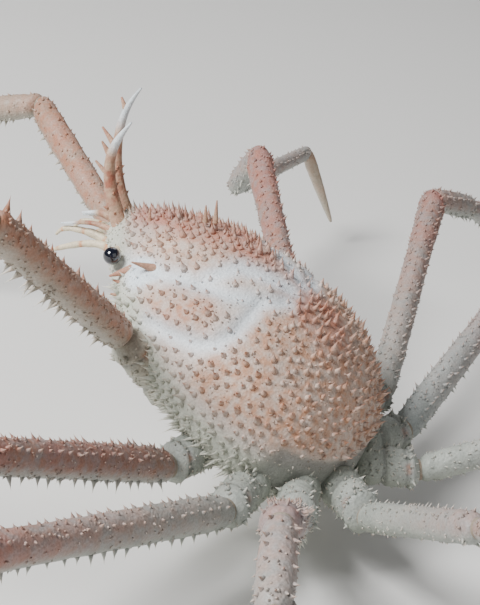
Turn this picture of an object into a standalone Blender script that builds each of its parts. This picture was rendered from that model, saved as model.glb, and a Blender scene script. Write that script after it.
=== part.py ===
"""Paromola macrochira, a deep-sea carrier crab, as a still, life-size model.

The crab stands on the floor with its front raised, as a living one does. Its
own axes are X to its right, Y forward and Z up, and the body is pitched about
X. Angles of the limbs are given as the world sees them: yaw is measured from
straight out to the limb's own side towards the front, and rise from the
horizontal.
"""
import math

import bmesh
import bpy
import numpy as np

# Body
FRONT_REACH = 0.057
REAR_REACH = 0.051
HALF_WIDTH = 0.0375
BACK_HEIGHT = 0.0335
BELLY_DEPTH = 0.0135
WIDTH_TAPER = (0.30, 0.25)
BACK_TAPER = (0.20, 0.18)
BACK_RISE = 0.05
BELLY_TAPER = 0.45
BODY_PITCH = math.radians(32)
BODY_LEVEL = 0.046
BODY_RINGS = 26
BODY_SIDES = 32

# Joins between pieces
GAP = 0.0003
LIMB_SIDES = 10

# Spines, in metres
SPINE_ROOT = 0.0012
SPINE_SIDES = 4
SPINE_CLEARANCE = 0.0012
SHELL_SPINES = 270
SHELL_SPINE_LENGTH = 0.0030
SHELL_SPINE_RADIUS = 0.0010
GOLDEN_TURN = 0.6180339887

# Rows of limb spines: angle from the front edge over the top in degrees, spacing, length and
# foot radius in millimetres, lean to the far end
LEG_ROWS = ((50, 14.0, 3.0, 0.9, 0.5), (140, 15.0, 2.6, 0.9, 0.5), (235, 16.0, 2.8, 0.9, 0.4),
            (300, 12.5, 3.4, 0.9, 0.4))
ARM_ROWS = ((30, 14.0, 2.4, 0.9, 0.4), (85, 14.0, 2.8, 0.9, 0.4), (150, 14.0, 2.2, 0.9, 0.3),
            (215, 11.0, 4.6, 1.0, 0.2), (300, 11.0, 4.8, 1.0, 0.2))
HIND_ROWS = ((40, 13.0, 2.4, 0.8, 0.3), (110, 13.0, 2.6, 0.8, 0.3), (250, 16.0, 2.2, 0.8, 0.3))
ROW_SETS = {1: ARM_ROWS, 2: LEG_ROWS, 3: LEG_ROWS, 4: LEG_ROWS, 5: HIND_ROWS}
ROWED = ("merus", "carpus", "palm")

# Underside
STERNUM_DEPTH = 0.0035
PLEON_DEPTH = 0.0030
MAXILLIPED_DEPTH = 0.0030

# Colours
SHELL_PINK = (0.78, 0.52, 0.42)
LIMB_PINK = (0.70, 0.45, 0.36)
PALE_GREEN = (0.66, 0.68, 0.58)
CREAM = (0.80, 0.68, 0.50)
NAVY = (0.01, 0.01, 0.03)

# Cross-sections along a limb piece: fraction of its length, half width, half depth
BASE_SHAPE = ((0, 5.2, 5.6), (0.28, 6.3, 6.7), (0.42, 5.3, 5.6), (0.56, 5.9, 6.2), (0.86, 5.6, 5.9), (1, 4.4, 4.6))
MERUS_SHAPE = ((0, 4.0, 4.2), (0.07, 4.7, 5.2), (0.3, 4.6, 5.1), (0.7, 4.4, 4.9), (0.93, 5.1, 5.5), (1, 4.1, 4.3))
CARPUS_SHAPE = ((0, 3.6, 3.8), (0.3, 4.2, 4.5), (0.75, 4.3, 4.6), (1, 3.3, 3.5))
PROPODUS_SHAPE = ((0, 3.1, 3.3), (0.12, 3.6, 3.9), (0.6, 3.1, 3.4), (0.93, 2.9, 3.2), (1, 2.4, 2.6))
DACTYLUS_SHAPE = ((0, 2.2, 2.4), (0.15, 2.5, 2.8), (0.5, 2.0, 2.2), (0.8, 1.3, 1.4), (1, 0.7, 0.7))
ARM_SHAPE = ((0, 4.0, 4.2), (0.08, 4.7, 5.1), (0.5, 4.4, 4.8), (0.9, 4.6, 5.0), (1, 3.8, 4.0))
PALM_SHAPE = ((0, 3.0, 3.2), (0.12, 3.7, 4.0), (0.5, 3.7, 4.2), (0.85, 4.0, 5.0), (1, 3.4, 4.4))
HIND_MERUS_SHAPE = ((0, 3.6, 3.8), (0.1, 4.2, 4.5), (0.6, 4.0, 4.3), (0.9, 4.1, 4.4), (1, 3.3, 3.5))
HIND_CARPUS_SHAPE = ((0, 3.0, 3.2), (0.5, 3.4, 3.7), (1, 2.6, 2.8))
HIND_HAND_SHAPE = ((0, 2.4, 2.6), (0.2, 3.0, 3.3), (0.6, 2.6, 3.0), (0.8, 2.0, 2.6), (1, 0.9, 1.0))

# Where each limb leaves the body and where its second joint lies, in the body's axes
COXAE = {1: (0.0255, -0.0015, -0.0075), 2: (0.028, -0.017, -0.0065), 3: (0.0250, -0.033, -0.0045),
         4: (0.0165, -0.0425, -0.0005), 5: (0.0070, -0.0480, 0.003)}
HIPS = {1: (0.035, 0.022, -0.0008), 2: (0.0435, -0.0147, -0.0122), 3: (0.0517, -0.0359, -0.0006),
        4: (0.0369, -0.0503, 0.0052), 5: (0.0188, -0.0628, 0.0111)}
RIGHT_ARM_HIP = (0.0168, 0.026, -0.020)

# Limb pieces past the base: name, yaw, rise, length in metres
LEGS = {
    ("leg2", -1): (("merus", 7, 21.4, 0.112), ("carpus", 24, 2, 0.028), ("propodus", 45, -38, 0.086)),
    ("leg2", 1): (("merus", 40.8, 20, 0.112), ("carpus", 47.5, -45.9, 0.026), ("propodus", 7.3, -4.8, 0.086)),
    ("leg3", -1): (("merus", 10, 13.4, 0.112), ("carpus", 4, 2, 0.028), ("propodus", -4, -26, 0.086)),
    ("leg3", 1): (("merus", 17.2, 17.5, 0.112), ("carpus", -14, -16, 0.028), ("propodus", -6, -25, 0.086)),
    ("leg4", -1): (("merus", -20.5, 28.6, 0.110), ("carpus", -26, -8, 0.028), ("propodus", -34, -37, 0.084)),
    ("leg4", 1): (("merus", 1, 13.5, 0.110), ("carpus", -8, 0, 0.028), ("propodus", -16, -25, 0.084)),
}
LIFTED = {("leg2", 1): (-64, -62.4, 0.034)}
FOOT_LEAN = 0.012
ARMS = {
    -1: (("merus", 0, 37.2, 0.088), ("carpus", 30, 14, 0.026), ("palm", 72, -24, 0.078)),
    1: (("merus", 64.5, 22.7, 0.104), ("carpus", 100, -18, 0.024), ("palm", 120, -38, 0.078)),
}
FINGER_LENGTH = 0.027
HIND_LEGS = {
    -1: (("merus", -47.3, 29, 0.068), ("carpus", -66, 22, 0.030), ("hand", -90, -6, 0.040)),
    1: (("merus", -55, 22, 0.068), ("carpus", -40, 20, 0.030), ("hand", -18, -8, 0.040)),
}

# Face: points in the body's axes on the left side, in metres
EYE_CENTRE = (-0.0197, 0.0443, 0.0043)
EYE_RADIUS = 0.0027
STALK_ROOT = (-0.011, 0.046, 0.002)
STALK_RADIUS = 0.0016
ANTENNULE_PATH = ((-0.004, 0.049, -0.0035), (-0.004, 0.054, -0.0050), (-0.0042, 0.0575, -0.0062),
                  (-0.0046, 0.0605, -0.0084), (-0.005, 0.0635, -0.0105), (-0.005, 0.0658, -0.0128),
                  (-0.005, 0.0673, -0.0150), (-0.005, 0.0664, -0.0169))
ANTENNULE_RADII = (0.0015, 0.0017, 0.0015, 0.0010, 0.0009, 0.0009, 0.0007, 0.0004)
ANTENNA_PATH = ((-0.008, 0.046, -0.002), (-0.009, 0.0518, -0.0027), (-0.010, 0.0552, -0.0062),
                (-0.011, 0.0589, -0.0112), (-0.011, 0.0612, -0.0154), (-0.011, 0.0632, -0.0192))
ANTENNA_RADII = (0.0014, 0.0013, 0.0011, 0.0010, 0.0008, 0.0003)

# Long spines on the front of the carapace: paths in the body's axes and half thickness
HORNS = (
    (((-0.0042, 0.050, 0.002), (-0.0050, 0.0585, 0.0063), (-0.0050, 0.0630, 0.0106), (-0.0055, 0.0675, 0.0149),
      (-0.0060, 0.0701, 0.0208), (-0.0070, 0.0698, 0.0269), (-0.0080, 0.0694, 0.0330)),
     (0.0028, 0.0025, 0.0019, 0.0017, 0.0015, 0.0010, 0.0003)),
    (((-0.0060, 0.0697, 0.0186), (-0.0070, 0.0732, 0.0202)), (0.0010, 0.0003)),
    (((-0.0055, 0.0670, 0.0128), (-0.0060, 0.0713, 0.0132)), (0.0008, 0.0003)),
    (((0.0042, 0.050, 0.000), (0.0045, 0.0597, 0.0026), (0.0045, 0.0651, 0.0074), (0.0045, 0.0707, 0.0130),
      (0.0045, 0.0749, 0.0198), (0.0045, 0.0781, 0.0264), (0.0045, 0.0782, 0.0316), (0.0045, 0.0778, 0.0360)),
     (0.0028, 0.0024, 0.0018, 0.0016, 0.0014, 0.0012, 0.0008, 0.0003)),
    (((0.0045, 0.0738, 0.0154), (0.0040, 0.0796, 0.0167)), (0.0010, 0.0003)),
    (((0.0045, 0.0778, 0.0270), (0.0045, 0.0809, 0.0287)), (0.0009, 0.0003)),
    (((0.0, 0.051, 0.001), (0.0, 0.0598, -0.0007), (0.0, 0.0659, -0.0074)), (0.0018, 0.0014, 0.0003)),
    (((-0.0050, 0.053, 0.0005), (-0.0060, 0.0594, -0.0025), (-0.0060, 0.0671, -0.0119)), (0.0011, 0.0008, 0.0003)),
    (((0.0050, 0.053, -0.0005), (0.0060, 0.0594, -0.0025), (0.0060, 0.0671, -0.0119)), (0.0011, 0.0008, 0.0003)),
    (((-0.0140, 0.038, 0.003), (-0.0168, 0.0400, 0.0028), (-0.0200, 0.0409, -0.0011)), (0.0020, 0.0014, 0.0003)),
    (((0.0140, 0.038, 0.003), (0.0168, 0.0400, 0.0028), (0.0200, 0.0409, -0.0011)), (0.0020, 0.0014, 0.0003)),
    (((-0.0195, 0.033, 0.003), (-0.0225, 0.0385, 0.0008)), (0.0012, 0.0003)),
    (((0.0195, 0.033, 0.003), (0.0225, 0.0385, 0.0008)), (0.0012, 0.0003)),
    (((-0.0205, 0.031, 0.001), (-0.0240, 0.0360, -0.0022)), (0.0012, 0.0003)),
    (((0.0205, 0.031, 0.001), (0.0240, 0.0360, -0.0022)), (0.0012, 0.0003)),
    (((-0.0185, 0.0310, 0.0130), (-0.0210, 0.0385, 0.0105)), (0.0013, 0.0003)),
    (((0.0185, 0.0310, 0.0130), (0.0210, 0.0385, 0.0105)), (0.0013, 0.0003)),
)

SHAPES = {"merus": MERUS_SHAPE, "carpus": CARPUS_SHAPE, "propodus": PROPODUS_SHAPE}
ARM_SHAPES = {"merus": ARM_SHAPE, "carpus": CARPUS_SHAPE, "palm": PALM_SHAPE}
HIND_SHAPES = {"merus": HIND_MERUS_SHAPE, "carpus": HIND_CARPUS_SHAPE, "hand": HIND_HAND_SHAPE}


def clear_scene():
    """Remove every object of the open file."""
    for item in list(bpy.data.objects):
        bpy.data.objects.remove(item, do_unlink=True)


def material(name, colour, roughness=0.55):
    """A Principled material of one colour."""
    finish = bpy.data.materials.new(name)
    finish.use_nodes = True
    shader = finish.node_tree.nodes["Principled BSDF"]
    shader.inputs["Base Color"].default_value = (*colour, 1)
    shader.inputs["Roughness"].default_value = roughness
    return finish


def to_world(points):
    """Body axes to world axes: pitch about X, then raise to the body's level."""
    points = np.asarray(points, float)
    cosine = math.cos(BODY_PITCH)
    sine = math.sin(BODY_PITCH)
    out = np.empty_like(points)
    out[..., 0] = points[..., 0]
    out[..., 1] = points[..., 1] * cosine - points[..., 2] * sine
    out[..., 2] = points[..., 1] * sine + points[..., 2] * cosine + BODY_LEVEL
    return out


def heading(side, yaw, rise):
    """Unit vector of a limb piece on one side of the crab."""
    yaw = math.radians(yaw)
    rise = math.radians(rise)
    return np.array([side * math.cos(yaw) * math.cos(rise), math.sin(yaw) * math.cos(rise), math.sin(rise)])


def unit(vector):
    return vector / np.linalg.norm(vector)


def shell(t, v):
    """Body surface in its own axes.

    t runs from the front end (0) to the rear end (pi) and v round the body
    from the right edge over the back. Each half section is an ellipse whose
    width and height follow the sine of t, less a share of its cosine, which
    narrows the front, and a share of the cosine's cube for the face. The back
    also rises by a share of the cosine behind the middle.
    """
    t, v = np.broadcast_arrays(np.asarray(t, float), np.asarray(v, float))
    middle = (FRONT_REACH - REAR_REACH) / 2
    reach = (FRONT_REACH + REAR_REACH) / 2
    swell = np.sin(t)
    front = np.cos(t)
    face = np.maximum(front, 0) ** 3
    width = HALF_WIDTH * swell * (1 - WIDTH_TAPER[0] * front - WIDTH_TAPER[1] * face)
    fall = BACK_TAPER[0] * np.maximum(front, 0) - BACK_RISE * np.maximum(-front, 0)
    back = BACK_HEIGHT * swell * (1 - fall - BACK_TAPER[1] * face)
    belly = BELLY_DEPTH * swell * (1 - BELLY_TAPER * np.maximum(front, 0))
    height = np.where(np.sin(v) > 0, back, belly)
    return np.stack([width * np.cos(v), middle + reach * front, height * np.sin(v)], -1)


def shell_normal(t, v):
    """Outward unit normal of the body, by small steps in t and v."""
    step = 1e-3
    along = shell(t + step, v) - shell(t - step, v)
    around = shell(t, v + step) - shell(t, v - step)
    normal = np.cross(around, along)
    return normal / np.linalg.norm(normal, axis=-1, keepdims=True)


def add_object(name, points, faces, finish):
    """One object from world points and faces, with its normals turned outwards."""
    mesh = bpy.data.meshes.new(name)
    mesh.from_pydata([tuple(map(float, point)) for point in points], [], faces)
    work = bmesh.new()
    work.from_mesh(mesh)
    bmesh.ops.recalc_face_normals(work, faces=work.faces)
    work.to_mesh(mesh)
    work.free()
    mesh.materials.append(finish)
    mesh.shade_smooth()
    mesh.set_sharp_from_angle(angle=math.radians(40))
    item = bpy.data.objects.new(name, mesh)
    bpy.context.collection.objects.link(item)
    return item


def loft(rings):
    """Points and faces of a tube through equal rings, closed by flat ends."""
    rings = np.asarray(rings)
    count, sides = rings.shape[:2]
    faces = []
    for row in range(count - 1):
        for column in range(sides):
            after = (column + 1) % sides
            low = row * sides
            faces.append((low + column, low + after, low + sides + after, low + sides + column))
    faces.append(tuple(reversed(range(sides))))
    faces.append(tuple(range((count - 1) * sides, count * sides)))
    return rings.reshape(-1, 3), faces


def body_mesh(lift):
    """Closed mesh of the body, grown outwards by lift, with a point at each end."""
    t = np.linspace(0, math.pi, BODY_RINGS + 1)[1:-1, None]
    v = np.linspace(0, 2 * math.pi, BODY_SIDES, endpoint=False)[None, :]
    grown = shell(t, v) + lift * shell_normal(t, v)
    points = grown.reshape(-1, 3).tolist()
    rows = grown.shape[0]
    faces = []
    for row in range(rows - 1):
        for column in range(BODY_SIDES):
            after = (column + 1) % BODY_SIDES
            low = row * BODY_SIDES
            high = low + BODY_SIDES
            faces.append((low + column, low + after, high + after))
            faces.append((low + column, high + after, high + column))
    front = len(points)
    points.append((0, FRONT_REACH + lift, 0))
    points.append((0, -REAR_REACH - lift, 0))
    last = (rows - 1) * BODY_SIDES
    for column in range(BODY_SIDES):
        after = (column + 1) % BODY_SIDES
        faces.append((front, after, column))
        faces.append((front + 1, last + column, last + after))
    return to_world(np.array(points)), faces


def apply_boolean(item, operation, pieces, solver="EXACT"):
    """Join the pieces to an object, or cut them from it, and keep its largest closed surface."""
    group = bpy.data.collections.new(item.name + "_pieces")
    bpy.context.scene.collection.children.link(group)
    for piece in pieces:
        for owner in list(piece.users_collection):
            owner.objects.unlink(piece)
        group.objects.link(piece)
    change = item.modifiers.new("join", "BOOLEAN")
    change.operation = operation
    change.solver = solver
    change.operand_type = "COLLECTION"
    change.collection = group
    bpy.context.view_layer.update()
    view = bpy.context.evaluated_depsgraph_get()
    result = bpy.data.meshes.new_from_object(item.evaluated_get(view))
    item.modifiers.clear()
    item.data = result
    for piece in list(group.objects):
        bpy.data.objects.remove(piece, do_unlink=True)
    bpy.data.collections.remove(group)
    keep_largest(item)


def keep_largest(item):
    """Delete every closed surface of an object but the one of the greatest volume."""
    work = bmesh.new()
    work.from_mesh(item.data)
    left = set(work.faces)
    shells = []
    while left:
        front = [left.pop()]
        island = list(front)
        while front:
            face = front.pop()
            for edge in face.edges:
                for other in edge.link_faces:
                    if other in left:
                        left.remove(other)
                        front.append(other)
                        island.append(other)
        shells.append(island)
    if len(shells) > 1:
        def volume(island):
            total = 0.0
            for face in island:
                corners = [vertex.co for vertex in face.verts]
                for index in range(1, len(corners) - 1):
                    total += corners[0].dot(corners[index].cross(corners[index + 1])) / 6
            return total
        shells.sort(key=volume)
        for island in shells[:-1]:
            bmesh.ops.delete(work, geom=island, context="FACES")
        loose = [vertex for vertex in work.verts if not vertex.link_faces]
        bmesh.ops.delete(work, geom=loose, context="VERTS")
    work.to_mesh(item.data)
    work.free()


def spine_object(name, foot, tip, radius, finish):
    """A spine: a narrow pyramid from its sunk foot to its tip."""
    axis = unit(tip - foot)
    side = unit(np.cross(axis, (0.31, 0.53, 0.79)))
    up = np.cross(axis, side)
    turn = np.linspace(0, 2 * math.pi, SPINE_SIDES, endpoint=False)
    ring = foot + radius * (np.cos(turn)[:, None] * side + np.sin(turn)[:, None] * up)
    points = [*ring, tip]
    faces = [tuple(reversed(range(SPINE_SIDES)))]
    for corner in range(SPINE_SIDES):
        faces.append((corner, (corner + 1) % SPINE_SIDES, SPINE_SIDES))
    return add_object(name, points, faces, finish)


class Piece:
    """A straight limb piece between two joint planes.

    Every section is an ellipse about the axis from start to end. A point's
    place along the axis is its share of the way between the two planes, so
    neighbours meet face to face at the bend between them.
    """

    def __init__(self, start, end, start_normal, end_normal, shape, start_gap=GAP / 2, end_gap=GAP / 2):
        self.start = np.asarray(start, float)
        self.end = np.asarray(end, float)
        self.axis = unit(self.end - self.start)
        self.length = float(np.linalg.norm(self.end - self.start))
        self.side = unit(np.cross(self.axis, (0, 0, 1)))
        self.up = np.cross(self.side, self.axis)
        self.start_normal = start_normal
        self.end_normal = end_normal
        self.start_gap = start_gap
        self.end_gap = end_gap
        self.stations = np.array([row[0] for row in shape], float)
        self.widths = np.array([row[1] for row in shape]) * 0.001
        self.depths = np.array([row[2] for row in shape]) * 0.001

    def point(self, fraction, turn):
        """Surface points at fractions of the length and angles round the axis."""
        fraction, turn = np.broadcast_arrays(np.asarray(fraction, float), np.asarray(turn, float))
        width = np.interp(fraction, self.stations, self.widths)
        depth = np.interp(fraction, self.stations, self.depths)
        offset = (width * np.cos(turn))[..., None] * self.side + (depth * np.sin(turn))[..., None] * self.up
        first = (self.start_gap - offset @ self.start_normal) / (self.axis @ self.start_normal)
        last = self.length - (self.end_gap + offset @ self.end_normal) / (self.axis @ self.end_normal)
        along = first * (1 - fraction) + last * fraction
        return self.start + offset + along[..., None] * self.axis

    def mesh(self):
        turn = np.linspace(0, 2 * math.pi, LIMB_SIDES, endpoint=False)[None, :]
        return loft(self.point(self.stations[:, None], turn))

    def spines(self, rows, side):
        """Foot, tip and radius of each spine of the rows, which lie evenly over the length.

        Lengths swing by a fifth along a row, as a sine of the spine's number.
        """
        made = []
        for degrees, spacing, length, radius, lean in rows:
            count = max(int(self.length * 1000 / spacing), 1)
            turn = math.radians(degrees if side < 0 else 180 - degrees)
            outward = math.cos(turn) * self.side + math.sin(turn) * self.up
            way = unit(outward + lean * self.axis)
            for index in range(count):
                spot = self.point(0.08 + 0.84 * (index + 0.5) / count, turn)
                reach = length * (1 + 0.2 * math.sin(7 * index + degrees)) * 0.001
                made.append((spot - SPINE_ROOT * outward, spot + reach * way, radius * 0.001))
        return made


def bent_tube(name, path, radii, finish, sides=6):
    """A tapered tube along a bent path, its rings square to the path."""
    path = np.asarray(path, float)
    tangents = np.gradient(path, axis=0)
    turn = np.linspace(0, 2 * math.pi, sides, endpoint=False)[:, None]
    side = unit(np.cross(tangents[0], (0.12, 0.35, 0.93)))
    rings = []
    for centre, tangent, radius in zip(path, tangents, radii):
        tangent = unit(tangent)
        side = unit(side - tangent * (side @ tangent))
        up = np.cross(tangent, side)
        rings.append(centre + radius * (np.cos(turn) * side + np.sin(turn) * up))
    points, faces = loft(rings)
    return add_object(name, points, faces, finish)


def slab(name, path, widths, thickness, finish):
    """A flat strip across the middle plane, along a path of points (y, z) in the body's axes."""
    path = np.asarray(path, float)
    tangents = np.gradient(path, axis=0)
    tangents = tangents / np.linalg.norm(tangents, axis=1, keepdims=True)
    outward = np.stack([-tangents[:, 1], tangents[:, 0]], 1)
    rings = []
    for (y, z), (oy, oz), width in zip(path, outward, widths):
        ring = []
        for across, out in ((-1, 0.15), (-0.8, 0), (0.8, 0), (1, 0.15), (0.75, 0.9), (0, 1), (-0.75, 0.9)):
            ring.append((across * width, y + out * thickness * oy, z + out * thickness * oz))
        rings.append(ring)
    points, faces = loft(rings)
    return add_object(name, to_world(points), faces, finish)


def belly_path(first, last, lift, count):
    """Points (y, z) under the middle of the body from one t to another, a lift clear of it."""
    t = np.linspace(first, last, count)
    v = np.full(count, -math.pi / 2)
    points = shell(t, v) + lift * shell_normal(t, v)
    return points[:, 1:]


def shell_spines():
    """Foot, tip and radius of spines over the back and flanks, on a spiral of equal steps.

    The spiral steps evenly along the body's length and by the golden turn round it.
    """
    made = []
    for index in range(SHELL_SPINES):
        t = math.acos(1 - 2 * (0.03 + 0.93 * (index + 0.5) / SHELL_SPINES))
        v = -0.45 + (index * GOLDEN_TURN % 1.0) * (math.pi + 0.9)
        spot = shell(t, v)
        out = shell_normal(t, v)
        length = SHELL_SPINE_LENGTH * (1 + 0.2 * math.sin(5 * index))
        way = unit(out + np.array([0, 0.45, 0.1]))
        made.append((to_world(spot - SPINE_ROOT * out), to_world(spot + length * way), SHELL_SPINE_RADIUS))
    return made


def line_distance(points, start, end):
    """Distance of points from a straight line between two ends."""
    run = end - start
    share = np.clip(((points - start) @ run) / (run @ run), 0, 1)
    return np.linalg.norm(points - start - share[..., None] * run, axis=-1)


def clear_spines(spines, lines, hull):
    """Those spines whose outer half keeps clear of every line with its radius, and of the hull's points."""
    kept = []
    for foot, tip, radius in spines:
        points = foot + np.array([0.5, 0.75, 1.0])[:, None] * (tip - foot)
        free = all((line_distance(points, start, end) > reach + SPINE_CLEARANCE).all()
                   for start, end, reach in lines)
        if free and len(hull):
            free = np.linalg.norm(hull[:, None] - points, axis=-1).min() > SPINE_CLEARANCE
        if free:
            kept.append((foot, tip, radius))
    return kept


def make_carapace(lines, finish):
    """The body with its horns and those of its spines that stand clear of limbs and face."""
    points, faces = body_mesh(0)
    body = add_object("carapace", points, faces, finish)
    joined = [bent_tube("horn", to_world(path), radii, finish) for path, radii in HORNS]
    for foot, tip, radius in clear_spines(shell_spines(), lines, np.empty((0, 3))):
        joined.append(spine_object("spine", foot, tip, radius, finish))
    apply_boolean(body, "UNION", joined)
    return body


def trim_to_body(item, finish):
    """Cut an object off a gap's width outside the body."""
    points, faces = body_mesh(GAP)
    apply_boolean(item, "DIFFERENCE", [add_object("cutter", points, faces, finish)])


def make_underside():
    """The breastplate, the tucked tail over it, and the plates that cover the mouth."""
    finish = material("underside", PALE_GREEN)
    path = belly_path(1.30, 2.25, GAP, 9)
    slab("sternum", path, np.interp(np.linspace(0, 1, 9), (0, 0.3, 1), (0.005, 0.009, 0.009)), STERNUM_DEPTH, finish)
    t = np.linspace(1.42, math.pi, 13)
    v = np.full(13, -math.pi / 2)
    lift = np.interp(t, (2.25, 2.45), (STERNUM_DEPTH + 3 * GAP, 2 * GAP))
    points = shell(t, v) + lift[:, None] * shell_normal(t, v)
    slab("pleon", points[:, 1:], np.interp(t, (1.42, 1.7, 2.6, math.pi), (0.0025, 0.0055, 0.0060, 0.0052)),
         PLEON_DEPTH, finish)
    path = belly_path(0.66, 1.20, GAP, 8)
    slab("maxillipeds", path, np.interp(np.linspace(0, 1, 8), (0, 0.5, 1), (0.003, 0.0065, 0.006)),
         MAXILLIPED_DEPTH, finish)


def make_face():
    """Eyes on their stalks, antennules and antennae, on both sides."""
    eye_finish = material("eye", NAVY, 0.08)
    stalk_finish = material("stalk", CREAM)
    for side, label in ((-1, "left"), (1, "right")):
        mirror = np.array([-side, 1, 1])
        centre = to_world(np.array(EYE_CENTRE) * mirror)
        root = to_world(np.array(STALK_ROOT) * mirror)
        way = unit(centre - root)
        neck = centre - 0.55 * EYE_RADIUS * way
        stalk = bent_tube("eyestalk_" + label, (root, (root + neck) / 2, neck - GAP * way),
                          (STALK_RADIUS, STALK_RADIUS, 0.9 * STALK_RADIUS), stalk_finish, 10)
        trim_to_body(stalk, stalk_finish)
        latitudes = np.linspace(math.acos(0.55), math.pi - 0.15, 7)
        path = [centre - EYE_RADIUS * math.cos(angle) * way for angle in latitudes]
        radii = [EYE_RADIUS * math.sin(angle) for angle in latitudes]
        bent_tube("eye_" + label, path, radii, eye_finish, 14)
        for name, line, radii in (("antennule", ANTENNULE_PATH, ANTENNULE_RADII),
                                  ("antenna", ANTENNA_PATH, ANTENNA_RADII)):
            feeler = bent_tube("%s_%s" % (name, label), to_world(np.array(line) * mirror), radii, stalk_finish, 8)
            trim_to_body(feeler, stalk_finish)


def limb_pieces(side, number, chain, shapes, foot):
    """The pieces of a limb from its base outwards, by node name."""
    label = "left" if side < 0 else "right"
    mirror = np.array([side, 1, 1])
    coxa = to_world(np.array(COXAE[number]) * mirror)
    hip = to_world(np.array(HIPS[number]) * mirror)
    if number == 1 and side > 0:
        hip = to_world(np.array(RIGHT_ARM_HIP))
    stem = "cheliped" if number == 1 else "leg%d" % number
    names = ["base"] + [row[0] for row in chain]
    ways = [unit(hip - coxa)] + [heading(side, row[1], row[2]) for row in chain]
    joints = [coxa, hip]
    for row, way in zip(chain, ways[1:]):
        joints.append(joints[-1] + row[3] * way)
    if foot is not None:
        names.append("dactylus" if number > 1 else "finger")
        joints.append(foot(joints[-1], ways[-1]))
        ways.append(unit(joints[-1] - joints[-2]))
    normals = [ways[0]]
    for before, after in zip(ways, ways[1:]):
        normals.append(unit(before + after))
    standing = foot is not None and abs(joints[-1][2]) < 1e-6
    normals.append(np.array([0, 0, -1.0]) if standing else ways[-1])
    made = {}
    for index, name in enumerate(names):
        if name == "base":
            shape = BASE_SHAPE
        elif name in ("dactylus", "finger"):
            shape = DACTYLUS_SHAPE
        else:
            shape = shapes[name]
        last = index == len(names) - 1
        made["%s_%s_%s" % (stem, label, name)] = Piece(
            joints[index], joints[index + 1], normals[index], normals[index + 1], shape,
            0 if index == 0 else GAP / 2, 0 if last else GAP / 2)
    return made


def standing_foot(side, key):
    """Where a walking leg's claw touches the floor, or hangs if the leg is lifted."""
    def place(joint, way):
        if key in LIFTED:
            yaw, rise, length = LIFTED[key]
            return joint + length * heading(side, yaw, rise)
        flat = np.array([way[0], way[1], 0])
        foot = joint + FOOT_LEAN * unit(flat)
        foot[2] = 0
        return foot
    return place


def finger_tip(joint, way):
    """The movable finger follows the palm and dips a little."""
    return joint + FINGER_LENGTH * unit(way + np.array([0, 0, -0.12]))


def all_limbs():
    """Every limb's pieces, by limb number and side."""
    limbs = {}
    for (stem, side), chain in LEGS.items():
        number = int(stem[-1])
        limbs[(number, side)] = limb_pieces(side, number, chain, SHAPES, standing_foot(side, (stem, side)))
    for side, chain in ARMS.items():
        limbs[(1, side)] = limb_pieces(side, 1, chain, ARM_SHAPES, finger_tip)
    for side, chain in HIND_LEGS.items():
        limbs[(5, side)] = limb_pieces(side, 5, chain, HIND_SHAPES, None)
    return limbs


def piece_line(piece):
    """A limb piece as a line with the radius that holds it."""
    return piece.start, piece.end, float(piece.depths.max())


def make_limbs(limbs):
    """The limb pieces, with spines on the long and the bent ones."""
    shell_finish = material("limb_shell", LIMB_PINK)
    base_finish = material("limb_base", PALE_GREEN)
    tip_finish = material("limb_tip", CREAM)
    finish = {"base": base_finish, "merus": shell_finish, "carpus": shell_finish, "propodus": shell_finish,
              "palm": shell_finish, "hand": base_finish, "dactylus": tip_finish, "finger": tip_finish}
    hull = to_world(shell(np.linspace(0.1, math.pi - 0.1, 60)[:, None],
                          np.linspace(0, 2 * math.pi, 80)[None, :]).reshape(-1, 3))
    lines = {node: piece_line(piece) for pieces in limbs.values() for node, piece in pieces.items()}
    for (number, side), pieces in limbs.items():
        for node, piece in pieces.items():
            name = node.split("_")[-1]
            points, faces = piece.mesh()
            item = add_object(node, points, faces, finish[name])
            if name in ROWED:
                others = [line for other, line in lines.items() if other != node]
                spines = clear_spines(piece.spines(ROW_SETS[number], side), others, hull)
                apply_boolean(item, "UNION", [spine_object("spine", *row, finish[name]) for row in spines])
            if name == "base":
                trim_to_body(item, finish[name])


def face_lines():
    """The eyes, stalks and feelers as lines with their radii."""
    lines = []
    for side in (-1, 1):
        mirror = np.array([-side, 1, 1])
        eye = to_world(np.array(EYE_CENTRE) * mirror)
        lines.append((to_world(np.array(STALK_ROOT) * mirror), eye, EYE_RADIUS))
        for path in (ANTENNULE_PATH, ANTENNA_PATH):
            points = to_world(np.array(path) * mirror)
            lines.append((points[0], points[-1], ANTENNULE_RADII[0]))
    return lines


def set_origin():
    """Move the whole crab so that the origin lies under the middle of its box."""
    low = np.full(3, np.inf)
    high = -low
    for item in bpy.data.objects:
        corners = np.empty(len(item.data.vertices) * 3)
        item.data.vertices.foreach_get("co", corners)
        corners = corners.reshape(-1, 3)
        low = np.minimum(low, corners.min(0))
        high = np.maximum(high, corners.max(0))
    middle = (low + high) / 2
    for item in bpy.data.objects:
        item.location = (-middle[0], -middle[1], -low[2])


def main():
    clear_scene()
    limbs = all_limbs()
    lines = face_lines() + [piece_line(piece) for pieces in limbs.values() for piece in pieces.values()]
    make_carapace(lines, material("shell", SHELL_PINK))
    make_underside()
    make_face()
    make_limbs(limbs)
    set_origin()


main()
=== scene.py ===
"""Looks of a life-size Paromola macrochira, a deep-sea carrier crab.

Each solid of the frame is replaced by a finer surface of the same shape, with
its tubercles, spines, joint skin and mottled colours. The crab's own axes are X
to its right, Y forward and Z up, and its body is pitched about X.
"""

import math

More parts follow.
